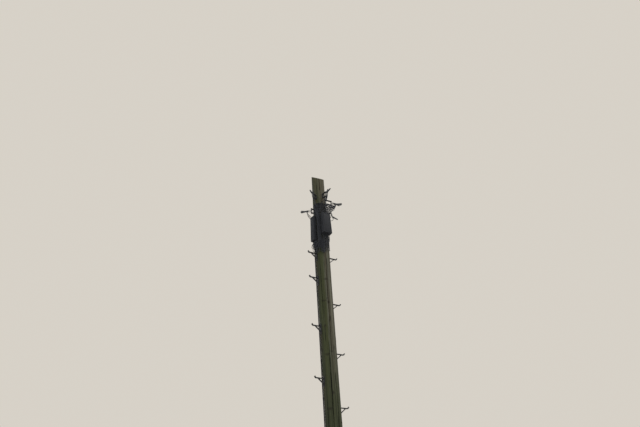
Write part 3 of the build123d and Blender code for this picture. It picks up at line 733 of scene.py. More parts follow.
@dataclass
class Trunk:
    """The tapered log with its checks, knots and slanted roof cut."""

    ground_radius: float = 0.121
    upper_radius: float = 0.108
    upper_height: float = 6.2
    top_radius: float = 0.097
    top_height: float = 7.618
    tip_height: float = 7.6999
    roof_slope: float = 35.2
    side_slope: float = 2.5
    roof_below: float = 0.0008
    rim_height: float = 7.6
    straight_height: float = 7.50
    straight_share: float = 0.955
    slenderer: float = 0.9976
    crown: float = 0.012
    small_checks: int = 130
    small_knots: int = 30
    columns: int = 124
    rows: int = 460
    seed: int = 8

    def radius(self, height: float) -> float:
        """The pole's radius at a height."""
        if height < self.upper_height:
            share = height / self.upper_height
            return self.ground_radius + (self.upper_radius - self.ground_radius) * share
        share = (height - self.upper_height) / (self.tip_height - self.upper_height)
        return self.upper_radius + (self.top_radius - self.upper_radius) * share

    def _turns(self) -> np.ndarray:
        """The columns' azimuths in radians, with more of them at the main checks."""
        even = np.linspace(-math.pi, math.pi, self.columns, endpoint=False)
        extra = [math.radians(check.azimuth) + aside / self.upper_radius
                 for check in MAIN_CHECKS for aside in (-0.0026, -0.0012, 0.0, 0.0012, 0.0026)]
        kept = [turn for turn in even if min(abs(turn - other) for other in extra) > 0.011]
        return np.array(sorted(kept + extra))

    def roof(self, x: np.ndarray, y: np.ndarray) -> np.ndarray:
        """The height of the roof cut at level places."""
        return (self.top_height - self.roof_below + x * math.tan(math.radians(self.side_slope))
                + y * math.tan(math.radians(self.roof_slope)))

    def _checks(self, rng: np.random.Generator, angle: np.ndarray, height: np.ndarray,
                radius: np.ndarray) -> Tuple[np.ndarray, np.ndarray]:
        """Long drying checks down the log.

        Args:
            rng: the source of the places.
            angle: each point's azimuth in radians.
            height: each point's height.
            radius: each point's radius.

        Returns:
            How deep each point sinks, and how strong the painted shade of a check is there.
        """
        depth = np.zeros_like(angle)
        mask = np.zeros_like(angle)
        small = [Check(rng.uniform(-180.0, 180.0), rng.uniform(0.1, 7.5), rng.uniform(0.12, 1.2),
                       rng.uniform(0.0018, 0.0042), rng.uniform(0.0020, 0.0042), rng.uniform(-0.05, 0.05))
                 for _ in range(self.small_checks)]
        for check in MAIN_CHECKS + small:
            along = (height - check.middle) / (check.length / 2)
            # tint sets the strength of each check's painted shade, lower for the deep main checks.
            wander, tint = (0.0, 0.45) if check in MAIN_CHECKS else (0.012, 1.0)
            line = (math.radians(check.azimuth) + check.lean * (height - check.middle)
                    + wander * np.sin(height * 9.0 + check.azimuth))
            fade = np.clip(1.0 - np.abs(along), 0.0, 1.0)
            share = np.abs(apart(angle, line)) * radius / (check.width * (0.25 + 0.75 * fade ** 0.6))
            inside = np.clip(1.0 - share ** 1.6, 0.0, 1.0) * np.clip(fade ** 0.6 * 3.0, 0.0, 1.0)
            depth = np.maximum(depth, inside * check.depth)
            # Painted shade along the check's middle.
            dark = tint * np.clip(1.0 - (2.0 * share) ** 2, 0.0, 1.0) * np.clip(fade * 4.0, 0.0, 1.0)
            mask = np.maximum(mask, dark)
        return depth, mask

    def _knots(self, rng: np.random.Generator, angle: np.ndarray, height: np.ndarray,
               radius: np.ndarray) -> Tuple[np.ndarray, np.ndarray]:
        """Knots: a dark eye in a slight swelling.

        Args:
            rng: the source of the places.
            angle: each point's azimuth in radians.
            height: each point's height.
            radius: each point's radius.

        Returns:
            How far each point rises, and how dark it is.
        """
        rise = np.zeros_like(angle)
        dark = np.zeros_like(angle)
        listed = [(-22.0, 5.756, 0.026, 0.36), (-47.0, 5.410, 0.030, 0.34), (-20.0, 5.440, 0.013, 0.6),
                  (-45.0, 4.600, 0.028, 0.34), (-12.0, 4.640, 0.015, 0.6), (-56.0, 3.845, 0.032, 0.34),
                  (-20.0, 7.36, 0.006, 1.25)]
        listed += [(rng.uniform(-180.0, 180.0), rng.uniform(0.3, 6.0), rng.uniform(0.006, 0.017), 1.25)
                   for _ in range(self.small_knots)]
        for azimuth, middle, size, flat in listed:
            aside = apart(angle, math.radians(azimuth)) * radius / size
            away = np.sqrt(aside ** 2 + ((height - middle) / (size * flat)) ** 2)
            swell = np.exp(-(away / 2.2) ** 2) * 0.0022
            eye = np.clip(1.25 - away, 0.0, 1.0)
            ringed = np.exp(-((away - 1.15) / 0.22) ** 2) * 0.0014
            rise = rise + swell - ringed - eye * 0.0012
            dark = np.maximum(dark, np.clip(eye * 0.9 + np.exp(-((away - 1.15) / 0.3) ** 2) * 0.55, 0.0, 1.0))
        return rise, dark

    def _stains(self, angle: np.ndarray, height: np.ndarray, radius: np.ndarray) -> np.ndarray:
        """Rust runs below the steel that is screwed to the log."""
        stain = np.zeros_like(angle)
        for azimuth, top, length, width in STAINS:
            below = (top - height) / length
            across = apart(angle, math.radians(azimuth)) * radius / width
            stain = np.maximum(stain, np.exp(-across ** 2) * np.clip(1.0 - below, 0.0, 1.0) * (below > 0))
        return stain * 0.7

    def _side(self, rng: np.random.Generator, turn: np.ndarray) -> Tuple[np.ndarray, np.ndarray]:
        """The log's side.

        Args:
            rng: the source of its irregularities.
            turn: the columns' azimuths in radians.

        Returns:
            Its points and their check, knot and stain values, by row and column.
        """
        share = np.linspace(0.0, 1.0, self.rows)[:, None]
        straight = self.straight_height
        body_rows = int(self.rows * self.straight_share)
        rim = self.radius(self.rim_height) * self.slenderer
        top = self.roof(rim * np.sin(turn), -rim * np.cos(turn))[None, :]
        part = (np.arange(self.rows)[:, None] - body_rows + 1) / (self.rows - body_rows)
        below = share * (straight / share[body_rows - 1])
        height = np.where(part > 0.0, straight + (top - straight) * part, below)
        angle = np.ones((self.rows, 1)) * turn[None, :]
        radius = np.vectorize(self.radius)(height) * self.slenderer
        depth, mask = self._checks(rng, angle, height, radius)
        rise, dark = self._knots(rng, angle, height, radius)
        wave = (np.sin(3 * angle + height * 1.3) + np.sin(2 * angle - height * 2.1 + 1.0)
                + 0.6 * np.sin(7 * angle + 3.0 * np.sin(height * 0.8)))
        ridge = np.zeros_like(angle)
        for count in (23, 37, 51, 67):
            start = rng.uniform(0.0, 6.28)
            bend = 1.6 * np.sin(height * rng.uniform(0.5, 1.4) + rng.uniform(0, 6.28))
            ridge += np.sin(count * angle + (start + bend))
        radius = radius + 0.0004 * wave + 0.00022 * ridge + rise - depth
        crown = np.clip((height - (top - self.crown)) / self.crown, 0.0, 1.0)
        radius -= crown ** 2 * (0.0016 + 0.0018 * (np.sin(angle * 19) > 0.3))
        points = np.stack([radius * np.sin(angle), -radius * np.cos(angle), height], axis=2)
        return points, np.stack([mask, dark, self._stains(angle, height, radius)], axis=2)

    def _roof_ring(self, rim: np.ndarray, turn: np.ndarray, inner: float) -> Tuple[np.ndarray, np.ndarray]:
        """One ring of the roof cut, with its growth rings and splits.

        Args:
            rim: the side's uppermost points.
            turn: the columns' azimuths in radians.
            inner: the ring's share of the rim's size.

        Returns:
            Its points and their check, knot and stain values.
        """
        cut = np.zeros(len(turn))
        for azimuth, reach in ROOF_SPLITS:
            gap = apart(turn, math.radians(azimuth) + 0.08 * math.sin(9 * inner))
            width = 0.0032 * (inner - reach) / (1 - reach)
            if width > 0:
                across = np.abs(gap) * inner * self.radius(self.rim_height) * self.slenderer / width
                cut = np.maximum(cut, np.clip(1.0 - across, 0.0, 1.0))
        x, y = rim[:, 0] * inner, rim[:, 1] * inner
        z = self.roof(x, y) - 0.0008 * (1 + np.sin(inner * 71.0)) - 0.008 * cut
        # cut sinks each split and also carries its painted shade.
        return np.stack([x, y, z], axis=1), np.stack([cut, np.zeros_like(cut), np.zeros_like(cut)], axis=1)

    def build(self) -> None:
        """Make the log and its roof."""
        turn = self._turns()
        points, masks = self._side(np.random.default_rng(self.seed), turn)
        rings, values = list(points), list(masks)
        for inner in (0.985, 0.95, 0.9, 0.82, 0.74, 0.66, 0.57, 0.48, 0.39, 0.3, 0.2, 0.1):
            ring, mask = self._roof_ring(points[-1], turn, inner)
            rings.append(ring)
            values.append(mask)
        form = Form()
        form.skin([[Vector(point) for point in ring] for ring in rings])
        made = form.piece("trunk", (Finish.WOOD, Finish.END_GRAIN), Slot.WOOD, Body.POLE, "pole", 60.0)
        flat = np.concatenate(values).astype(np.float32)
        # The check values carry the painted shade of the checks and of the roof's splits.
        for number, name in enumerate(("check", "knot", "stain")):
            layer = made.data.attributes.new(name, "FLOAT", "POINT")
            layer.data.foreach_set("value", np.ascontiguousarray(flat[:, number]))
        side_faces = (self.rows - 1) * len(turn)
        for polygon in made.data.polygons:
            if polygon.index >= side_faces and polygon.center.z > self.upper_height:
                polygon.material_index = 1


POLE = Trunk()


# Climbing steps


@dataclass
class Step:
    """A climbing step: a palm screwed to the pole, a tread with a turned-up toe and a brace."""

    node: str
    azimuth: float
    height: float
    reach: float = 0.146
    width: float = 0.026
    thickness: float = 0.010
    full_thickness: float = 0.0115
    toe_top: float = 0.019
    toe_lean: float = 0.007
    toe_bend: float = 0.014
    brace_reach: float = 0.086
    brace_foot: float = 0.011
    brace_drop: float = 0.084
    brace_width: float = 0.019
    brace_thickness: float = 0.0115
    palm_width: float = 0.036
    palm_above: float = 0.034
    palm_below: float = 0.124
    palm_thickness: float = 0.005
    palm_corner: float = 0.011
    let_in: float = 0.004
    screw_inset: float = 0.014
    screw_size: float = 0.0072
    ribs: Sequence[float] = (0.45, 0.6, 0.75)

    def build(self) -> None:
        """Make the step."""
        out = outward(self.azimuth)
        side = out.cross(UP)
        seat = POLE.radius(self.height) + PLAY
        axes = Axes(around(self.azimuth, seat, self.height), out, UP, side)
        form = Form()
        middle = -self.thickness / 2
        tread = bent([axes.at(0.001, middle), axes.at(self.reach - self.thickness, middle),
                      axes.at(self.reach - self.thickness / 2 + self.toe_lean, self.toe_top)],
                     self.toe_bend, 8)
        blunt = [0.88] + [1.0] * (len(tread) - 2) + [0.88]
        form.bar(tread, side, self.width, self.full_thickness, 0.0018, blunt)
        foot = self.brace_foot * 0.62
        brace = [axes.at(0.003, -self.brace_drop - 0.006), axes.at(foot, -self.brace_drop + 0.001),
                 axes.at(self.brace_reach + foot * 0.3, -self.thickness - 0.004),
                 axes.at(self.brace_reach + foot * 1.1, -self.thickness + 0.002)]
        form.bar(brace, side, self.brace_width, self.brace_thickness, 0.0015)
        palm = Axes(axes.at(-self.let_in, (self.palm_above - self.palm_below) / 2), side, UP, out)
        form.block(palm, self.palm_width, self.palm_above + self.palm_below,
                   self.palm_thickness + self.let_in, 0.0014, self.palm_corner, steps=5)
        for place in (self.palm_above - self.screw_inset, self.screw_inset - self.palm_below):
            seat = Axes(axes.at(self.palm_thickness, place), side, UP, out)
            form.hexagon(seat, self.screw_size, self.screw_size, 1)
        for share in self.ribs:
            rib = Axes(axes.at(self.reach * share, -0.0006), side, out, UP)
            form.block(rib, self.width * 0.8, 0.0022, 0.0005, 0.0002)
        form.piece(self.node, (Finish.STEEL, Finish.BOLT), Slot.STEEL)


TOP_STEP = 6.18
STEP_PITCH = 0.762
STEPS = ([Step(f"right_step_{n + 1}", 90.0, TOP_STEP - (4 - n) * STEP_PITCH) for n in range(5)]
         + [Step(f"left_step_{n + 1}", -90.0, TOP_STEP - (3.5 - n) * STEP_PITCH) for n in range(4)]
         + [Step("left_step_5", -90.0, TOP_STEP + 0.03)])
# Azimuth, top, length and width of the rust runs
STAINS = ([(step.azimuth, step.height - 0.11, 0.42, 0.012) for step in STEPS]
          + [(90.0, 7.15, 0.3, 0.014), (90.0, 6.92, 0.3, 0.014), (5.0, 7.17, 0.25, 0.014),
             (-60.0, 7.15, 0.3, 0.012), (-90.0, 6.91, 0.3, 0.014)])


# Stirrups and clamps


@dataclass
class Clamp:
    """A drop-wire clamp: a wire bail round the pin, a tapered shell and its wedge."""

    pin: Vector
    azimuth: float
    descent: float = 5.0
    bail_length: float = 0.066
    bail_radius: float = 0.002
    pin_radius: float = 0.006
    length: float = 0.112
    inner: Point2 = (0.025, 0.017)
    outer: Point2 = (0.015, 0.012)
    slot: Point2 = (0.008, 0.005)
    corner: float = 0.0026
    rim_radius: float = 0.0013
    wire_radius: float = 0.0028
    ribs: Sequence[float] = (0.34, 0.5, 0.66, 0.82)
    wedge: Sequence[float] = (0.011, 0.010, 0.040)

    def axes(self) -> Axes:
        """Axes on the pin: x out along the wire, y across it and z up."""
        fall = math.radians(self.descent)
        out = outward(self.azimuth)
        along = out * math.cos(fall) - UP * math.sin(fall)
        over = out * math.sin(fall) + UP * math.cos(fall)
        return Axes(self.pin, along, over.cross(along), over)

    def exit(self) -> Vector:
        """Where the drop cable leaves the clamp's underside."""
        return self.axes().at(self.bail_length + 0.012, 0.0, -self.inner[1] / 2 - PLAY)

    def _size(self, share: float) -> Point2:
        """The shell's width and height at a share of its length."""
        return (self.inner[0] + (self.outer[0] - self.inner[0]) * share,
                self.inner[1] + (self.outer[1] - self.inner[1]) * share)

    def shape(self, form: Form) -> None:
        """Add the clamp to a mesh, with its shell as material 0, its wedge 1 and its wire 2."""
        axes = self.axes()
        end = self.bail_length + self.length
        bend = self.pin_radius + PLAY + self.bail_radius
        half = self.inner[0] / 2 - self.bail_radius - 0.001
        leg = [(self.bail_length + 0.006, half), (self.bail_length * 0.55, bend + 0.0012),
               (self.bail_length * 0.2, bend)]
        bail = leg + arc(bend, 0.5, 1.5, 10) + [(along, -across) for along, across in reversed(leg)]
        form.tube([axes.at(*point) for point in bail], self.bail_radius, 10)
        body = Axes(axes.origin, axes.y, axes.z, axes.x)
        layers = []
        for share, inset in ((0.0, 0.0022), (0.012, 0.0007), (0.03, 0.0), (0.24, 0.0), (0.25, 0.0006),
                             (0.27, 0.0006), (0.28, 0.0), (0.97, 0.0), (0.99, 0.0007), (1.0, 0.002)):
            width, height = (size - 2 * inset for size in self._size(share))
            deep = self.slot[1] if share > 0.25 else 0.0
            cut = [(a, min(b, height / 2 - deep) if abs(a) < self.slot[0] / 2 else b)
                   for a, b in rounded(width, height, self.corner)]
            layers.append((cut, self.bail_length + self.length * share))
        form.stack(body, layers)
        for sign in (-1.0, 1.0):
            rim = [axes.at(self.bail_length + self.length * share, sign * (self.slot[0] / 2 + 0.0012),
                           self._size(share)[1] / 2 - 0.0004) for share in (0.26, 0.5, 0.75, 0.985)]
            form.tube(rim, self.rim_radius, 8)
            for share in self.ribs:
                width, tall = self._size(share)
                spot = axes.at(self.bail_length + self.length * share, sign * (width / 2 - 0.0006))
                rib = Axes(spot, axes.x, axes.z, axes.y * sign)
                form.block(rib, 0.0028, tall * 0.7, 0.0014, 0.0004, 0.001)
        form.block(body.moved(0.0, 0.001, self.bail_length - 0.010), *self.wedge, 0.0012, 0.002, 1)
        wire = [axes.at(end - 0.001, 0.0, self.outer[1] / 2 - 0.0018),
                axes.at(self.bail_length + self.length * 0.3, 0.0, self.inner[1] / 2 - 0.0022)]
        form.tube(wire, self.wire_radius, 10, 2)


@dataclass
class Stirrup:
    """A U of flat bar on the pole, closed by a bolt, with the clamps that hang on it."""

    name: str
    azimuth: float
    pin_distance: float
    height: float
    clamps: Sequence[Tuple[float, float]]
    width: float = 0.032
    thickness: float = 0.007
    clear: float = 0.064
    bend: float = 0.006
    pin_radius: float = 0.006
    head_radius: float = 0.011
    head_height: float = 0.008
    tail: float = 0.010
    end_share: float = 0.12
    screw_size: float = 0.0085
    screw_lift: float = 0.017

    def clamp(self, number: int) -> Clamp:
        """One of the clamps, by its number."""
        lift, wire = self.clamps[number]
        return Clamp(around(self.azimuth, self.pin_distance, self.height + lift), wire)

    def build(self) -> None:
        """Make the stirrup and its clamps."""
        out = outward(self.azimuth)
        side = out.cross(UP)
        back = POLE.radius(self.height)
        axes = Axes(UP * self.height, out, UP, side)
        arm = (self.clear + self.thickness) / 2
        near = back + self.thickness / 2
        form = Form()
        tip = self.pin_distance + self.width / 2
        line = bent([axes.at(tip, arm), axes.at(near, arm), axes.at(near, -arm), axes.at(tip, -arm)],
                    self.bend + self.thickness / 2, 7)[1:-1]
        ends = [(tip - self.width / 2 * (1.0 - along), max(across, self.end_share))
                for across, along in arc(1.0, 0.5, 0.0, 6)]
        first = [axes.at(place, arm) for place, _ in ends]
        last = [axes.at(place, -arm) for place, _ in reversed(ends)]
        narrow = [share for _, share in ends]
        form.bar(first + line + last, side, self.width, self.thickness, 0.0014,
                 narrow + [1.0] * len(line) + narrow[::-1])
        reach = self.clear / 2 + self.thickness
        pin = Axes(axes.at(self.pin_distance, 0.0), out, side, UP)
        low = -reach - self.head_height - self.tail
        form.turned(pin.moved(0, 0, low), self._thread(reach - low), 20, 1)
        for end in (pin.moved(0, 0, reach), Axes(pin.at(0, 0, -reach), out, -side, -UP)):
            form.hexagon(end, self.head_radius * 0.97, self.head_height, 1)
        for lift in (-self.screw_lift, self.screw_lift):
            seat = axes.at(back + self.thickness, lift)
            form.hexagon(Axes(seat, side, UP, out), self.screw_size, self.screw_size, 1)
        form.piece(f"{self.name}_stirrup", (Finish.STEEL, Finish.BOLT), Slot.STEEL)
        group = Form()
        for number in range(len(self.clamps)):
            self.clamp(number).shape(group)
        group.piece(f"{self.name}_clamps", (Finish.CLAMP, Finish.BOX, Finish.SHEATH), Slot.CLAMP)

    def _thread(self, length: float) -> List[Point2]:
        """The bolt's profile from its threaded tip up to its head."""
        profile = [(self.pin_radius * 0.7, 0.0)]
        for n in range(14):
            profile.append((self.pin_radius * (0.88 if n % 2 else 0.99), 0.0008 + n * 0.0011))
        profile += [(self.pin_radius, 0.018), (self.pin_radius, length - 0.001)]
        return profile


STIRRUPS = {
    made.name: made for made in (
        Stirrup("right_upper", 90.0, 0.228, 7.196,
                [(-0.027, 42.5), (-0.009, 59.0), (0.009, 77.5), (0.027, 96.0)]),
        Stirrup("right_lower", 90.0, 0.186, 6.960, [(0.0, 101.0)]),
        Stirrup("front", 5.0, 0.186, 7.215, [(-0.012, -22.0), (0.012, -8.0)]),
        Stirrup("left_upper", -60.0, 0.184, 7.190, [(0.012, -49.0), (-0.012, -35.0)]),
        Stirrup("left_lower", -90.0, 0.150, 6.956, [(-0.020, -100.0), (0.0, -119.0), (0.020, -139.5)]),
    )
}


# Terminal boxes


@dataclass
class Box:
    """A terminal box: a tray on the pole, a hinged wedge-shaped cover and terminals inside."""

    name: str
    azimuth: float
    width: float
    bottom: float
    top: float
    tray_depth: float
    depth_bottom: float
    depth_top: float
    hinge_side: float
    ports: Sequence[float]
    spare: Optional[int]
    feed: Optional[float]
    cover_body: Body
    wall: float = 0.003
    corner: float = 0.007
    stand_off: float = 0.008
    seam: float = 0.0003
    front_curve: float = 0.0075
    knuckle_radius: float = 0.0055
    knuckle_length: float = 0.024
    knuckle_inset: float = 0.040
    swing: float = 0.001
    latch_width: float = 0.026
    latch_reach: float = 0.009
    latch_thickness: float = 0.007
    latch_play: float = 0.001
    side_ribs: int = 5
    front_ribs: int = 7
    saddle_width: float = 0.026
    saddle_depth: float = 0.032
    strip_depth: float = 0.007
    module_depth: float = 0.0062
    modules: int = 8

    def __post_init__(self) -> None:
        """Work out its directions, its heights and the distances from the pole's axis."""
        self.out = outward(self.azimuth)
        self.across = UP.cross(self.out)
        self.back = POLE.radius(self.bottom) + self.stand_off
        self.rim = self.back + self.tray_depth
        self.lid = self.rim + self.seam
        self.port_distance = (self.back + self.wall + self.rim) / 2
        self.middle = (self.bottom + self.top) / 2
        self.tall = self.top - self.bottom
        self.hinges = (self.bottom + self.knuckle_inset,
                       self.top - self.knuckle_inset - 2 * self.knuckle_length)
        self.rows = (self.bottom + self.tall * 0.3, self.bottom + self.tall * 0.92)
        self.row_pitch = (self.rows[1] - self.rows[0]) / self.modules

    def at(self, aside: float, distance: float, height: float) -> Vector:
        """A point by its place across the box, distance from the pole's axis and height."""
        return self.across * aside + self.out * distance + UP * height

    def facing(self, aside: float, distance: float, height: float) -> Axes:
        """Axes at such a point: x across the box, y up and z outward."""
        return Axes(self.at(aside, distance, height), self.across, UP, self.out)

    def hinge(self, height: float) -> Axes:
        """Axes on the hinge's line, with z up."""
        aside = self.hinge_side * (self.width / 2 + self.knuckle_radius + self.swing)
        return Axes(self.at(aside, self.rim, height), self.across, self.out, UP)

    def port(self, offset: float, height: float) -> Vector:
        """A point on the line of one cable entry."""
        return self.at(offset, self.port_distance, height)

    def front(self, height: float) -> float:
        """The distance of the cover's front face at a height."""
        share = (height - self.bottom) / self.tall
        return self.lid + self.depth_bottom + (self.depth_top - self.depth_bottom) * share

    def _arch(self, inset: float, radius: float) -> List[Point2]:
        """A line up one side of the box, over its top and down the other side."""
        half, top = self.width / 2 - inset, self.top - inset
        foot = self.bottom + max(inset, 0.0) * 0.2
        line = [(half, foot)]
        for centre, start in ((half - radius, 0.0), (radius - half, 0.5)):
            line += arc(radius, start, start + 0.5, 5, (centre, top - radius))
        return line + [(-half, foot)]

    def _channel(self, inset: float, distance: float) -> List[Vector]:
        """One ring of the tray's walls: two sides and a top, open below."""
        outline = self._arch(inset, self.corner) + self._arch(self.wall, self.corner - self.wall)[::-1]
        return [self.at(a, distance, z) for a, z in outline]

    def _ring(self, inset: float, radius: float, distance: float,
              sink: Optional[float] = None) -> List[Vector]:
        """One ring of the cover's skin.

        Args:
            inset: how far it lies inside the cover's outline.
            radius: its corners' radius.
            distance: its distance from the pole's axis, the least one if it follows the front face.
            sink: how far below the front face it follows it, if it does.

        Returns:
            Its points.
        """
        outline = rounded(self.width - 2 * inset, self.tall - 2 * inset, radius, 5)
        return [self.at(a, distance if sink is None else max(self.front(b + self.middle) - sink, distance),
                        b + self.middle) for a, b in outline]

    def _knuckle(self, form: Form, start: float, toward: float, length: float) -> None:
        """Add a hinge barrel and its web; toward is 1 for the tray's side and -1 for the cover's."""
        axes = self.hinge(start)
        radius, edge = self.knuckle_radius, 0.0006
        profile = [(radius - edge, 0.0), (radius, edge), (radius, length - edge), (radius - edge, length)]
        form.turned(axes, profile, 20)
        aside = radius + self.swing + self.wall
        thick = radius - self.swing
        web = axes.moved(-self.hinge_side * aside / 2, -toward * (self.swing + thick / 2))
        form.block(web, aside, thick, length, 0.0005)

    def _lug(self, form: Form, distance: float) -> Axes:
        """Add a latch lug from a distance outward, and give the axes on its back."""
        aside = -self.hinge_side * (self.width / 2 + self.latch_reach / 2 - self.latch_play)
        axes = self.facing(aside, distance, self.middle)
        form.block(axes, self.latch_reach + 2 * self.latch_play, self.latch_width, self.latch_thickness,
                   0.0009, 0.0025)
        return axes

    def tray(self) -> None:
        """Make the tray."""
        form = Form()
        form.skin([self._channel(inset, distance) for inset, distance in (
            (0.0070, self.back), (0.0020, self.back + 0.0022), (0.0, self.back + 0.0070),
            (0.0, self.rim - 0.0062), (-0.0009, self.rim - 0.0056), (-0.0009, self.rim - 0.0008),
            (-PLAY, self.rim))])
        plate = self.facing(0, self.back, self.middle)
        form.block(plate, self.width - 0.012, self.tall, self.wall, 0.0008, 0.004)
        saddle = min(0.060, self.width / 2 - self.corner)
        tall = self.saddle_width
        for low in (self.bottom + tall, self.top - 2 * tall):
            pad = self.facing(0, self.back - self.saddle_depth, low + tall / 2)
            form.block(pad, 2 * saddle - 0.001, tall, self.saddle_depth + 0.0005, 0.0015)
        peg = 2 * self.knuckle_length
        for low in self.hinges:
            self._knuckle(form, low, 1.0, self.knuckle_length)
            form.turned(self.hinge(low + 0.002), [(0.0024, 0.0), (0.0025, 0.001), (0.0025, peg - 0.005),
                                                  (0.0018, peg - 0.0035)], 16, 1)
        self._lug(form, self.rim - self.latch_thickness)
        for n in range(self.side_ribs):
            height = self.bottom + self.tall * (n + 0.5) / self.side_ribs
            for sign in (-1.0, 1.0):
                spot = self.at(sign * (self.width / 2 - 0.0004), (self.back + self.rim) / 2 - 0.002, height)
                rib = Axes(spot, self.out, UP, self.across * sign)
                form.block(rib, self.tray_depth * 0.55, 0.0024, 0.0012, 0.0004)
        form.piece(f"{self.name}_tray", (Finish.BOX, Finish.BOLT), Slot.BOX)

    def base(self) -> None:
        """Dress the entry plate and add a rubber grommet at each entry; the spare one is left open."""
        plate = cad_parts[f"{self.name}_base"]
        plate.data.materials.clear()
        plate.data.materials.append(Finish.BOX.value.make())
        rings = []
        for number, offset in enumerate(self.ports):
            inner = 0.0040 if number == self.spare else 0.0036
            rings.append((offset, 20, [(inner, 0.0), (inner + 0.0026, 0.0), (inner + 0.0028, 0.0012),
                                       (inner + 0.0022, 0.0026), (inner + 0.0010, 0.0034), (inner, 0.0030),
                                       (inner, 0.0)]))
        if self.feed is not None:
            rings.append((self.feed, 28, [(0.0078, 0.0), (0.0112, 0.0), (0.0116, 0.002), (0.0106, 0.006),
                                          (0.0096, 0.013), (0.0080, 0.014), (0.0077, 0.0)]))
        form = Form()
        for offset, sides, profile in rings:
            axes = Axes(self.port(offset, self.bottom), self.across, -self.out, -UP)
            form.turned(axes, profile, sides, 0, False)
        form.piece(f"{self.name}_grommets", (Finish.RUBBER,), Slot.BOX, solid=None)

    def cover(self) -> None:
        """Make the cover."""
        rings = [self._ring(inset, 0.006, self.lid + rise)
                 for inset, rise in ((-0.0004, 0.0), (-0.0010, 0.0008), (-0.0010, 0.0048), (0.0, 0.0056))]
        for level, upright in arc(1.0, 0.0, 0.5, 5):
            inset = self.front_curve * (1 - level)
            rings.append(self._ring(inset, 0.006 + inset * 0.4, self.lid + 0.006,
                                    self.front_curve * (1 - upright)))
        rings += [self._ring(inset, radius, 0.0, sink) for inset, sink, radius in (
            (0.0150, 0.0, 0.010), (0.0158, 0.0003, 0.010), (0.0166, 0.0016, 0.010), (0.0178, 0.0019, 0.010),
            (0.0205, 0.0019, 0.009), (0.0214, 0.0016, 0.009), (0.0222, 0.0003, 0.009), (0.0230, 0.0, 0.009))]
        inner = [self._ring(self.wall - 0.0006, 0.004, self.lid),
                 self._ring(self.wall, 0.004, self.lid + 0.0008)]
        inner += [self._ring(self.wall + inset, 0.004, 0.0, self.wall + sink)
                  for inset, sink in ((0.0, 0.004), (0.0012, 0.0012), (0.004, 0.0))]
        form = Form()
        for skin in (rings, [rings[0]] + inner):
            form.skin(skin, caps=False)
            form.mesh.faces.new([form.mesh.verts.new(point) for point in skin[-1]])
        for low in self.hinges:
            self._knuckle(form, low + self.knuckle_length + self.swing / 2, -1.0,
                          self.knuckle_length - self.swing)
        form.screw(self._lug(form, self.lid).moved(0, 0, self.latch_thickness - 0.0004), 0.0036, 0.0012, 1)
        low, high = self.bottom + 0.036, self.top - 0.036
        for n in range(self.front_ribs):
            aside = (n - (self.front_ribs - 1) / 2) * self.width * 0.105
            line = [self.at(aside, self.front(z) - 0.0004, z) for z in (low, (low + high) / 2, high)]
            form.bar(line, self.across, 0.0026, 0.0016, 0.0005)
        brow = [self.at(sign * self.width * 0.44, self.rim + 0.006, self.top + 0.0002) for sign in (-1, 1)]
        form.bar(brow, self.out, 0.010, 0.0016, 0.0005)
        form.piece(f"{self.name}_cover", (Finish.BOX, Finish.BOLT, Finish.RUBBER), Slot.BOX, self.cover_body)

    def core(self, offset: float, start: float, number: int, aside: float) -> List[Vector]:
        """The line of one thin core from a cable's end to its terminal.

        Args:
            offset: the cable's place across the box.
            start: the height where it leaves the sheath.
            number: its terminal's number from below.
            aside: how far it lies from the cable's middle.

        Returns:
            The line's points.
        """
        low = self.rows[0]
        middle = low + (number + 0.5) * self.row_pitch + aside * 4.0
        side = 1.0 if offset > 0 else -1.0
        face = self.back + self.wall + 0.0120
        edge = side * self.width / 4
        lane = edge + side * (0.0035 + 0.0011 * number) + aside
        mouth = edge - side * 0.0062
        return [self.port(offset + aside, start), self.port(offset + aside, start + 0.012),
                self.port(lane, low - 0.012), self.at(lane, face + 0.004, low + 0.010),
                self.at(lane, face + 0.004, middle - 0.012), self.at(edge, face + 0.006, middle),
                self.at(mouth, face + 0.005, middle), self.at(mouth, face, middle)]

    def terminals(self) -> None:
        """Make the terminal strip."""
        form = Form()
        low, high = self.rows
        half, pitch = self.width / 4, self.row_pitch
        base = self.facing(0, self.back + self.wall, (low + high) / 2)
        hole = [(0.0016, 0.0), (0.0016, 0.0006), (0.0010, 0.0006), (0.0008, 0.0001)]
        form.block(base, 2 * half - 0.0004, high - low - 0.0004, self.strip_depth, 0.0008, 0.002)
        for number in range(self.modules):
            axes = base.moved(0, low + (number + 0.5) * pitch - (low + high) / 2, self.strip_depth - 0.0004)
            form.block(axes, 2 * (half - 0.004), pitch - 0.006, self.module_depth, 0.0007, 0.0015)
            for sign in (-1.0, 1.0):
                head = axes.moved(sign * (half - 0.012), 0, self.module_depth - 0.0002)
                form.screw(head, 0.0028, 0.0006, 1)
                for lift in (-0.25, 0.25):
                    mouth = axes.moved(sign * (half - 0.0062), lift * pitch * 0.6, self.module_depth - 0.0004)
                    form.turned(mouth, hole, 12, 2)
        form.piece(f"{self.name}_terminals", (Finish.TERMINAL, Finish.BOLT, Finish.RUBBER), Slot.TERMINAL)


FRONT_PORTS = [(n - 4) * 0.015 for n in range(9)]
LEFT_PORTS = [side * (0.016 + n * 0.012) for side in (-1, 1) for n in range(3)]
FRONT_BOX = Box("front_box", 0.0, 0.150, 6.505, 6.870, 0.038, 0.050, 0.024, 1.0, FRONT_PORTS, 3, None,
                Body.FRONT_COVER)
LEFT_BOX = Box("left_box", -90.0, 0.106, 6.420, 6.850, 0.024, 0.030, 0.016, -1.0, LEFT_PORTS, None, 0.0,
               Body.LEFT_COVER)


# Cables


def off_pole(azimuth: float, stand_off: float, height: float, radius: float = 0.0035) -> Vector:
    """A cable's centre at a clear distance off the pole."""
    return around(azimuth, POLE.radius(height) + PLAY + radius + stand_off, height)


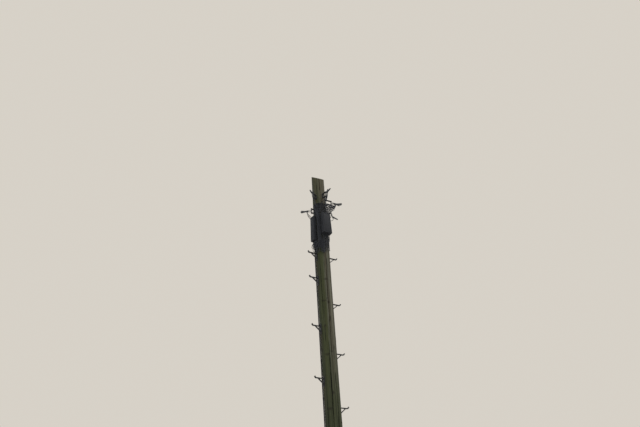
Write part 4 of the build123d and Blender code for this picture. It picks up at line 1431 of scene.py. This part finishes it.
@dataclass
class Tail:
    """One drop cable from its clamp down the pole and up into its box.

    Its middle points are azimuths, distances off the pole and heights, as in the solids.
    """

    stirrup: str
    clamp: int
    hang: float
    middle: Sequence[Tuple[float, float, float]]
    box: Box
    offset: float
    below: float
    inside: float

    def route(self) -> List[Vector]:
        """Its points, as in the solids."""
        exit_ = STIRRUPS[self.stirrup].clamp(self.clamp).exit()
        return [exit_, Vector((exit_.x, exit_.y, self.hang)), *(off_pole(*point) for point in self.middle),
                self.box.port(self.offset, self.box.bottom - self.below),
                self.box.port(self.offset, self.box.bottom + self.inside)]


TAILS = {
    "right_tails": [
        Tail("right_upper", 0, 7.112, [(66, 0.078, 7.080), (42, 0, 7.042), (42, 0, 6.460), (41, 0.003, 6.406),
                                       (32.5, 0.017, 6.392), (24.9, 0.033, 6.406)],
             FRONT_BOX, FRONT_PORTS[8], 0.045, 0.096),
        Tail("right_upper", 1, 7.126, [(71, 0.082, 7.070), (47, 0, 7.006), (47, 0, 6.440),
                                       (45.5, 0.003, 6.378), (32, 0.016, 6.360), (19.5, 0.028, 6.378)],
             FRONT_BOX, FRONT_PORTS[7], 0.065, 0.088),
        Tail("right_upper", 2, 7.112, [(76, 0.086, 7.046), (52, 0, 6.972), (52, 0, 6.415),
                                       (50.5, 0.003, 6.350), (38, 0.011, 6.330), (25, 0.017, 6.328),
                                       (14, 0.025, 6.348)],
             FRONT_BOX, FRONT_PORTS[6], 0.095, 0.099),
        Tail("right_upper", 3, 7.098, [(82, 0.092, 7.022), (57, 0, 6.938), (57, 0, 6.385), (55, 0.003, 6.316),
                                       (41, 0.010, 6.293), (23, 0.015, 6.289), (8.3, 0.023, 6.312)],
             FRONT_BOX, FRONT_PORTS[5], 0.120, 0.080),
        Tail("right_lower", 0, 6.895, [(84, 0.070, 6.846), (63, 0, 6.790), (63, 0, 6.350), (61, 0.003, 6.280),
                                       (46, 0.009, 6.252), (28, 0.013, 6.242), (12, 0.017, 6.250),
                                       (1.5, 0.0225, 6.276)],
             FRONT_BOX, FRONT_PORTS[4], 0.155, 0.092)],
    "front_tails": [
        Tail("front", 0, 7.150, [(-13, 0.069, 7.065), (-38, 0, 6.975), (-38, 0, 6.460), (-37, 0.003, 6.400),
                                 (-30.5, 0.016, 6.388), (-24.8, 0.032, 6.400)],
             FRONT_BOX, FRONT_PORTS[0], 0.045, 0.084),
        Tail("front", 1, 7.140, [(-11, 0.068, 7.082), (-43, 0, 7.012), (-43, 0, 6.440), (-42, 0.003, 6.372),
                                 (-31, 0.016, 6.356), (-19.5, 0.0285, 6.372)],
             FRONT_BOX, FRONT_PORTS[1], 0.069, 0.098)],
    "left_upper_tails": [
        Tail("left_upper", 0, 7.120, [(-55.4, 0.077, 7.060), (-52, 0, 6.990), (-52, 0, 6.380),
                                      (-53, 0.003, 6.322), (-62.5, 0.012, 6.309), (-71.8, 0.021, 6.322)],
             LEFT_BOX, LEFT_PORTS[5], 0.045, 0.112),
        Tail("left_upper", 1, 7.105, [(-51, 0.075, 7.030), (-47.5, 0, 6.960), (-47.5, 0, 6.350),
                                      (-48.5, 0.003, 6.289), (-61, 0.011, 6.272), (-76.3, 0.018, 6.288)],
             LEFT_BOX, LEFT_PORTS[4], 0.070, 0.100)],
    "left_lower_tails": [
        Tail("left_lower", 0, 6.892, [(-108, 0.050, 6.880), (-124, 0, 6.862), (-124, 0, 6.420),
                                      (-123.2, 0.003, 6.360), (-115.5, 0.012, 6.349), (-108, 0.0215, 6.360)],
             LEFT_BOX, LEFT_PORTS[2], 0.020, 0.118),
        Tail("left_lower", 1, 6.894, [(-118, 0.040, 6.862), (-129, 0, 6.832), (-129, 0, 6.400),
                                      (-128, 0.003, 6.336), (-116, 0.011, 6.322), (-103.6, 0.0185, 6.336)],
             LEFT_BOX, LEFT_PORTS[1], 0.030, 0.090),
        Tail("left_lower", 2, 6.888, [(-126, 0.036, 6.840), (-134, 0, 6.802), (-134, 0, 6.380),
                                      (-133, 0.003, 6.312), (-120, 0.009, 6.296), (-108, 0.013, 6.296),
                                      (-98.4, 0.017, 6.314)],
             LEFT_BOX, LEFT_PORTS[0], 0.045, 0.106)],
}


@dataclass
class Bundle:
    """More drop cables, in a dense run: across above the front box, down between the boxes and up into them.

    A fan is the angle between neighbours in degrees, and a low is the lowest loop's height.
    """

    to_front: int = 16
    to_left: int = 9
    layer: float = 0.0072
    highest: float = 7.098
    pitch: float = 0.0071
    turn: float = -72.0
    wide_turn: float = -78.0
    wide_turns_above: float = 7.052
    fan: float = 1.7
    strip: Sequence[float] = (6.835, 6.65)
    front_low: float = 6.180
    front_low_pitch: float = 0.0125
    front_ports_half: float = 0.0525
    left_lowest: float = 6.185
    left_low: float = 6.205
    left_low_pitch: float = 0.017
    left_high_loop: float = 6.28
    left_ports_half: float = 0.044
    starts: Sequence[Tuple[str, int]] = (("right_upper", 0), ("right_lower", 0), ("right_upper", 1),
                                         ("front", 1), ("right_upper", 2))

    def _crossing(self, number: int, off: float) -> List[Vector]:
        """From a clamp across the pole's face to a slack turn on its left.

        Args:
            number: the cable's number, the highest first.
            off: how far off the pole its layer lies.

        Returns:
            The first points of its route.
        """
        height = self.highest - self.pitch * number
        name, clamp = self.starts[number % len(self.starts)]
        exit_ = STIRRUPS[name].clamp(clamp).exit()
        line = [exit_, exit_ - UP * (0.035 + 0.005 * (number % 4))]
        turn = (self.wide_turn if height > self.wide_turns_above else self.turn) - 3.0 * (number % 3)
        if name.startswith("right"):
            run = [(64, 0.060 - 0.006 * (number % 3), 0.024), (44, off + 0.012, 0.012)]
        else:
            run = [(STIRRUPS[name].azimuth * 0.5 - 6, off + 0.035, 0.022), (20, off + 0.010, 0.012),
                   (44, off + 0.002, 0.004), (46, off, -0.020)]
        run += [(azimuth, off, -0.024) for azimuth in (22, -4, -30, -54)]
        run += [(turn, off, -0.030), (turn - 1, off, -0.055), (turn + 12, off, -0.075)]
        return line + [off_pole(azimuth, distance, height + rise) for azimuth, distance, rise in run]

    def _front_route(self, number: int) -> List[Vector]:
        """The points of a cable that ends in the front box.

        Args:
            number: its number.

        Returns:
            Its points.
        """
        off = self.layer * (1 + number % 3)
        azimuth = -34.0 - self.fan * number
        low = self.front_low + self.front_low_pitch * ((number * 5) % self.to_front)
        place = ((number * 7) % self.to_front) / (self.to_front - 1)
        aside = -self.front_ports_half + 2 * self.front_ports_half * place
        distance = FRONT_BOX.port_distance + (0.008 if number % 2 else -0.008)
        bottom = FRONT_BOX.bottom
        run = [(azimuth, off, height) for height in self.strip]
        run += [(azimuth + 1, off, 6.50), (azimuth + 8, off + 0.003, 0.6 * bottom + 0.4 * low),
                (azimuth + 18, off + 0.006, low), (azimuth * 0.35 - 2, 0.020, low - 0.006),
                (math.degrees(math.asin(aside / distance)), 0.023, low + 0.035)]
        line = self._crossing(2 * number if number < self.to_left else number + self.to_left, off)
        return (line + [off_pole(*point) for point in run]
                + [FRONT_BOX.at(aside, distance, bottom + rise) for rise in (-0.060, 0.040)])

    def _left_route(self, number: int) -> List[Vector]:
        """The points of a cable that ends in the left box.

        Args:
            number: its number.

        Returns:
            Its points.
        """
        off = self.layer * (3 - number % 3)
        azimuth = -48.0 - self.fan * number
        low = self.left_lowest
        if number:
            low = self.left_low + self.left_low_pitch * ((number * 4) % self.to_left)
        bulge = 0.036 if low > self.left_high_loop else 0.018
        aside = self.left_ports_half - 2 * self.left_ports_half * number / (self.to_left - 1)
        distance = LEFT_BOX.port_distance + (0.0055 if number % 2 else -0.0050)
        bottom = LEFT_BOX.bottom
        run = [(azimuth, off, height) for height in self.strip]
        run += [(azimuth, off, 6.42), (azimuth - 1, off + 0.002, low + 0.075),
                (azimuth - 8, off + 0.006 + bulge * 0.3, low),
                (-86.0 + math.degrees(math.asin(aside / distance)), 0.016 + bulge, low + 0.012)]
        return (self._crossing(2 * number + 1, off) + [off_pole(*point) for point in run]
                + [LEFT_BOX.at(aside, distance + bulge, min(low + 0.060, bottom - 0.034))]
                + [LEFT_BOX.at(aside, distance, bottom + rise) for rise in (-0.018, 0.040)])

    def routes(self) -> List[List[Vector]]:
        """All its cables."""
        return ([self._front_route(number) for number in range(self.to_front)]
                + [self._left_route(number) for number in range(self.to_left)])


@dataclass
class Cabling:
    """The cables, their cleats, and the clips and guard of the feed cable."""

    radius: float = 0.0035
    core_radius: float = 0.0008
    core_gap: float = 0.0012
    feed_radius: float = 0.0075
    feed_azimuth: float = -118.0
    feed_off: float = 0.0005
    feed_foot: float = 0.002
    feed_leaves: float = 6.130
    guard_foot: float = 0.010
    guard_length: float = 2.4
    guard_screws: int = 7
    guard_screws_from: float = 0.08
    guard_screw_pitch: float = 0.373
    clips: int = 6
    clip_height: float = 0.016
    cleats: int = 3
    cleat_radius: float = 0.0043
    cleat_width: float = 0.006
    cleat_thickness: float = 0.0013
    cleat_bite: float = 0.005
    feed_bend: Sequence[float] = (-110.0, 0.005, 6.228)
    link_bend: Sequence[Tuple[float, float, float]] = (
        (-81.5, 0.016, 6.268), (-70, 0.012, 6.240), (-52, 0.010, 6.226), (-33, 0.012, 6.232),
        (-17, 0.022, 6.262))

    def _curve(self, name: str, routes: Sequence[Sequence[Vector]], radius: float, finish: Finish,
               solid: Optional[str] = "") -> bpy.types.Object:
        """Make round cables on smooth lines.

        Args:
            name: the piece's name.
            routes: each cable's points.
            radius: the cables' radius.
            finish: the sheath's finish.
            solid: the solid that they replace, as for placed().

        Returns:
            The object.
        """
        curve = bpy.data.curves.new(name, "CURVE")
        curve.dimensions = "3D"
        curve.bevel_depth = radius
        curve.bevel_resolution, curve.resolution_u = (1, 6) if radius < self.radius else (3, 10)
        curve.use_fill_caps = True
        for route in routes:
            spline = curve.splines.new("NURBS")
            spline.points.add(len(route) - 1)
            for point, place in zip(spline.points, route):
                point.co = (*place, 1.0)
            spline.order_u = 3
            spline.use_endpoint_u = True
        return placed(name, curve, (finish,), Body.POLE, solid)

    def _lines(self, made: bpy.types.Object) -> List[List[Vector]]:
        """The points along each cable of a curve, read from its smooth splines.

        Args:
            made: the curve object.

        Returns:
            One list of points for each cable.
        """
        bare = made.data.copy()
        bare.bevel_depth = 0.0
        probe = bpy.data.objects.new("bare_line", bare)
        mesh = bpy.data.meshes.new_from_object(probe)
        joined = {tuple(sorted(edge.vertices)) for edge in mesh.edges}
        lines: List[List[Vector]] = []
        for vertex in mesh.vertices:
            if (vertex.index - 1, vertex.index) not in joined:
                lines.append([])
            lines[-1].append(vertex.co.copy())
        bpy.data.objects.remove(probe)
        bpy.data.meshes.remove(mesh)
        bpy.data.curves.remove(bare)
        return lines

    def _passes(self, line: Sequence[Vector], height: float) -> Vector:
        """Where a cable's line first passes a height."""
        for start, end in zip(line, line[1:]):
            if start.z != end.z and (start.z - height) * (end.z - height) <= 0:
                return start.lerp(end, (start.z - height) / (start.z - end.z))
        return line[-1].copy()

    def build(self) -> None:
        """Make all cables and what holds them."""
        lines = {}
        for name, tails in TAILS.items():
            made = self._curve(name, [tail.route() for tail in tails], self.radius, Finish.SHEATH)
            lines[name] = self._lines(made)
        self._curve("cross_tails", Bundle().routes(), self.radius, Finish.SHEATH, None)
        link = [LEFT_BOX.port(LEFT_PORTS[3], height) for height in (6.480, 6.340)]
        link += [off_pole(*point) for point in self.link_bend]
        link += [FRONT_BOX.port(FRONT_PORTS[2], height) for height in (6.340, 6.565)]
        self._curve("link_cable", [link], self.radius, Finish.SHEATH)
        feed = [*self._feed_leg(), off_pole(*self.feed_bend, self.feed_radius),
                *(LEFT_BOX.port(LEFT_BOX.feed, height) for height in (6.300, 6.470))]
        # The feed cable wears the darkened sheath that paints shade down the pole's left edge.
        feed_line, = self._lines(self._curve("feed_cable", [feed], self.feed_radius, Finish.SHADED_FEED))
        self._cores()
        self._cleats(lines)
        self._feed_clips(feed_line)
        self._guard()

    def _cores(self) -> None:
        """Make the pair of thin cores from each drop cable's end to its terminal."""
        routes = []
        for box in (FRONT_BOX, LEFT_BOX):
            ended = [tail for tails in TAILS.values() for tail in tails if tail.box is box]
            for number, tail in enumerate(sorted(ended, key=lambda tail: abs(tail.offset))):
                start = box.bottom + tail.inside - 0.004
                for aside in (-self.core_gap, self.core_gap):
                    routes.append(box.core(tail.offset, start, number, aside))
        self._curve("cable_cores", routes, self.core_radius, Finish.CORE, None)

    def _cleats(self, lines: Dict[str, List[List[Vector]]]) -> None:
        """Make the cleats that hold each drop cable: a band over it with its feet in the wood.

        Args:
            lines: each group's lines, as read from its splines.
        """
        form = Form()
        for name, tails in TAILS.items():
            for number, tail in enumerate(tails):
                flat = [height for _, off, height in tail.middle if off == 0]
                first, run = flat[0] - 0.07 - 0.02 * number, flat[0] - flat[-1] - 0.16
                for n in range(self.cleats):
                    centre = self._passes(lines[name][number], first - run * n / (self.cleats - 1))
                    out = Vector((centre.x, centre.y, 0.0)).normalized()
                    side = out.cross(UP)
                    line = [centre + side * a + out * b for a, b in arc(self.cleat_radius, 0.0, 1.0, 8)]
                    line = [line[0] - out * self.cleat_bite, *line, line[-1] - out * self.cleat_bite]
                    form.bar(line, UP, self.cleat_width, self.cleat_thickness, 0.0004)
        form.piece("tail_cleats", (Finish.SHEATH,), Slot.SHEATH, solid=None)

    def _feed_leg(self) -> List[Vector]:
        """The ends of the feed cable's long leg."""
        return [off_pole(self.feed_azimuth, self.feed_off, height, self.feed_radius)
                for height in (self.feed_foot, self.feed_leaves)]

    def _feed_axes(self, along: float) -> Axes:
        """Axes on the feed cable's leg: x round the pole, y outward and z along the cable."""
        low, high = self._feed_leg()
        run = (high - low).normalized()
        x = outward(self.feed_azimuth).cross(run).normalized()
        return Axes(low + run * along, x, run.cross(x), run)

    def _strap(self, inner: float, wall: float, foot: float, steps: int, gap: float = 0.0) -> List[Point2]:
        """The outline of a strap over the feed cable with a foot on each side.

        Args:
            inner: its inner radius.
            wall: its thickness.
            foot: how far a foot reaches.
            steps: the number of edges in its bend.
            gap: how far the cable lies off the wood.

        Returns:
            Its points.
        """
        outer = inner + wall
        down = -self.feed_radius + 0.0002 - gap
        low = down - 0.0030
        right = [(outer + foot, low), (outer + foot, low + wall), (outer + 0.001, down + wall)]
        left = [(-across, height) for across, height in reversed(right)]
        return (right + arc(outer, 0.0, 1.0, steps) + left + [(-inner, down - 0.001)]
                + arc(inner, 1.0, 0.0, steps) + [(inner, down - 0.001)])

    def _feed_clips(self, line: Sequence[Vector]) -> None:
        """Make the metal clips of the feed cable.

        Args:
            line: the cable's line, as read from its spline.
        """
        low, high = self._feed_leg()
        start = self.guard_foot + self.guard_length
        pitch = ((high - low).length - start) / (self.clips + 1)
        form = Form()
        for n in range(self.clips):
            straight = self._feed_axes(start + (n + 1) * pitch)
            centre = self._passes(line, straight.origin.z)
            gap = centre.xy.length - straight.origin.xy.length
            x = Vector((centre.x, centre.y, 0.0)).cross(straight.z).normalized()
            axes = Axes(centre, x, straight.z.cross(x), straight.z)
            outline = self._strap(self.feed_radius + PLAY, 0.0018, 0.016, 10, gap)
            form.stack(axes, [(outline, 0.0), (outline, self.clip_height)])
            for sign in (-1.0, 1.0):
                seat = axes.at(sign * 0.0185, -self.feed_radius + 0.0005 - gap, self.clip_height / 2)
                form.screw(Axes.facing(seat, axes.y, axes.x), 0.004, 0.0018, 1)
        form.piece("feed_clips", (Finish.STEEL, Finish.BOLT, Finish.RUBBER), Slot.STEEL)

    def _guard(self) -> None:
        """Make the guard over the feed cable's foot."""
        form = Form()
        outline = self._strap(self.feed_radius + 0.003, 0.002, 0.018, 14)
        axes = self._feed_axes(self.guard_foot)
        length = self.guard_length
        form.stack(axes, [(outline, step) for step in
                          (0.0, 0.001, *(0.3 * n for n in range(1, 8)), length - 0.001, length)])
        for n in range(self.guard_screws):
            for sign in (-1.0, 1.0):
                seat = axes.at(sign * 0.0215, -self.feed_radius + 0.0008,
                               self.guard_screws_from + n * self.guard_screw_pitch)
                form.screw(Axes.facing(seat, axes.y, axes.x), 0.0048, 0.0022, 1)
        form.piece("cable_guard", (Finish.GUARD, Finish.BOLT, Finish.RUBBER), Slot.GUARD)


# Stage


@dataclass
class Stage:
    """The camera at the photograph's angle, the floor and the light."""

    azimuth: float = -33.28
    distance: float = 9.231
    height: float = 1.5
    pitch: float = 30.550
    roll: float = -3.790
    yaw: float = 0.015
    lens: float = 37.97
    sky: Colour3 = (0.680, 0.640, 0.575)
    light: Colour3 = (0.93, 0.96, 1.0)
    floor: Colour3 = (0.60, 0.59, 0.56)
    floor_half: float = 60.0

    def camera(self) -> None:
        """Make the camera."""
        data = bpy.data.cameras.new("camera")
        data.sensor_width = 36.0
        data.lens = self.lens
        data.clip_end = 200.0
        ahead = -outward(self.azimuth - self.yaw)
        right = Vector((ahead.y, -ahead.x, 0.0))
        pitch, roll = math.radians(self.pitch), math.radians(self.roll)
        view = ahead * math.cos(pitch) + UP * math.sin(pitch)
        up = UP * math.cos(pitch) - ahead * math.sin(pitch)
        x = right * math.cos(roll) + up * math.sin(roll)
        y = up * math.cos(roll) - right * math.sin(roll)
        made = linked("camera", data)
        made.matrix_world = (Matrix.Translation(around(self.azimuth, self.distance, self.height))
                             @ Matrix((x, y, -view)).transposed().to_4x4())
        bpy.context.scene.camera = made

    def surroundings(self) -> None:
        """Make the floor, the sky and the lamps."""
        half = self.floor_half
        form = Form()
        form.mesh.faces.new([form.mesh.verts.new((x * half, y * half, -0.0005))
                             for x, y in ((-1, -1), (1, -1), (1, 1), (-1, 1))])
        data = bpy.data.meshes.new("floor")
        form.mesh.to_mesh(data)
        form.mesh.free()
        data.materials.append(Paint("floor").finish(self.floor, 0.9))
        linked("floor", data)
        world = bpy.data.worlds.new("sky")
        bpy.context.scene.world = world
        world.use_nodes = True
        graph = Graph(world.node_tree)
        seen = graph.node("ShaderNodeLightPath").outputs["Is Camera Ray"]
        light, sky = (graph.node("ShaderNodeBackground", inputs={"Color": (*colour, 1.0)}).outputs[0]
                      for colour in (self.light, self.sky))
        mix = graph.node("ShaderNodeMixShader", inputs={0: seen, 1: light, 2: sky}).outputs[0]
        graph.node("ShaderNodeOutputWorld", inputs={0: mix})
        self._sun("key", 68.0, 52.0, 0.8, 24.0, (1.0, 0.97, 0.92))
        self._sun("back", 178.0, 40.0, 0.4, 45.0, (0.92, 0.96, 1.0))

    def _sun(self, name: str, azimuth: float, elevation: float, strength: float, spread: float,
             colour: Colour3) -> None:
        """Make one soft lamp.

        Args:
            name: the lamp's name.
            azimuth: where it shines from, round the pole.
            elevation: how high it stands, in degrees.
            strength: its strength.
            spread: its apparent width in degrees.
            colour: its colour.
        """
        data = bpy.data.lights.new(name, "SUN")
        data.energy = strength
        data.angle = math.radians(spread)
        data.color = colour
        source = outward(azimuth) * math.cos(math.radians(elevation)) + UP * math.sin(math.radians(elevation))
        made = linked(name, data)
        made.rotation_euler = source.to_track_quat("Z", "Y").to_euler()
        made.location = source * 12.0


def main() -> None:
    """Build the pole's pieces in order."""
    logging.basicConfig(level=logging.INFO, format="%(message)s")
    bpy.context.scene.view_settings.view_transform = "Standard"
    stage = Stage()
    stage.camera()
    Cabling().build()
    for piece in (POLE, *STEPS, *STIRRUPS.values()):
        piece.build()
    for box in (FRONT_BOX, LEFT_BOX):
        box.tray()
        box.base()
        box.cover()
        box.terminals()
    stage.surroundings()


if __name__ == "__main__":
    main()
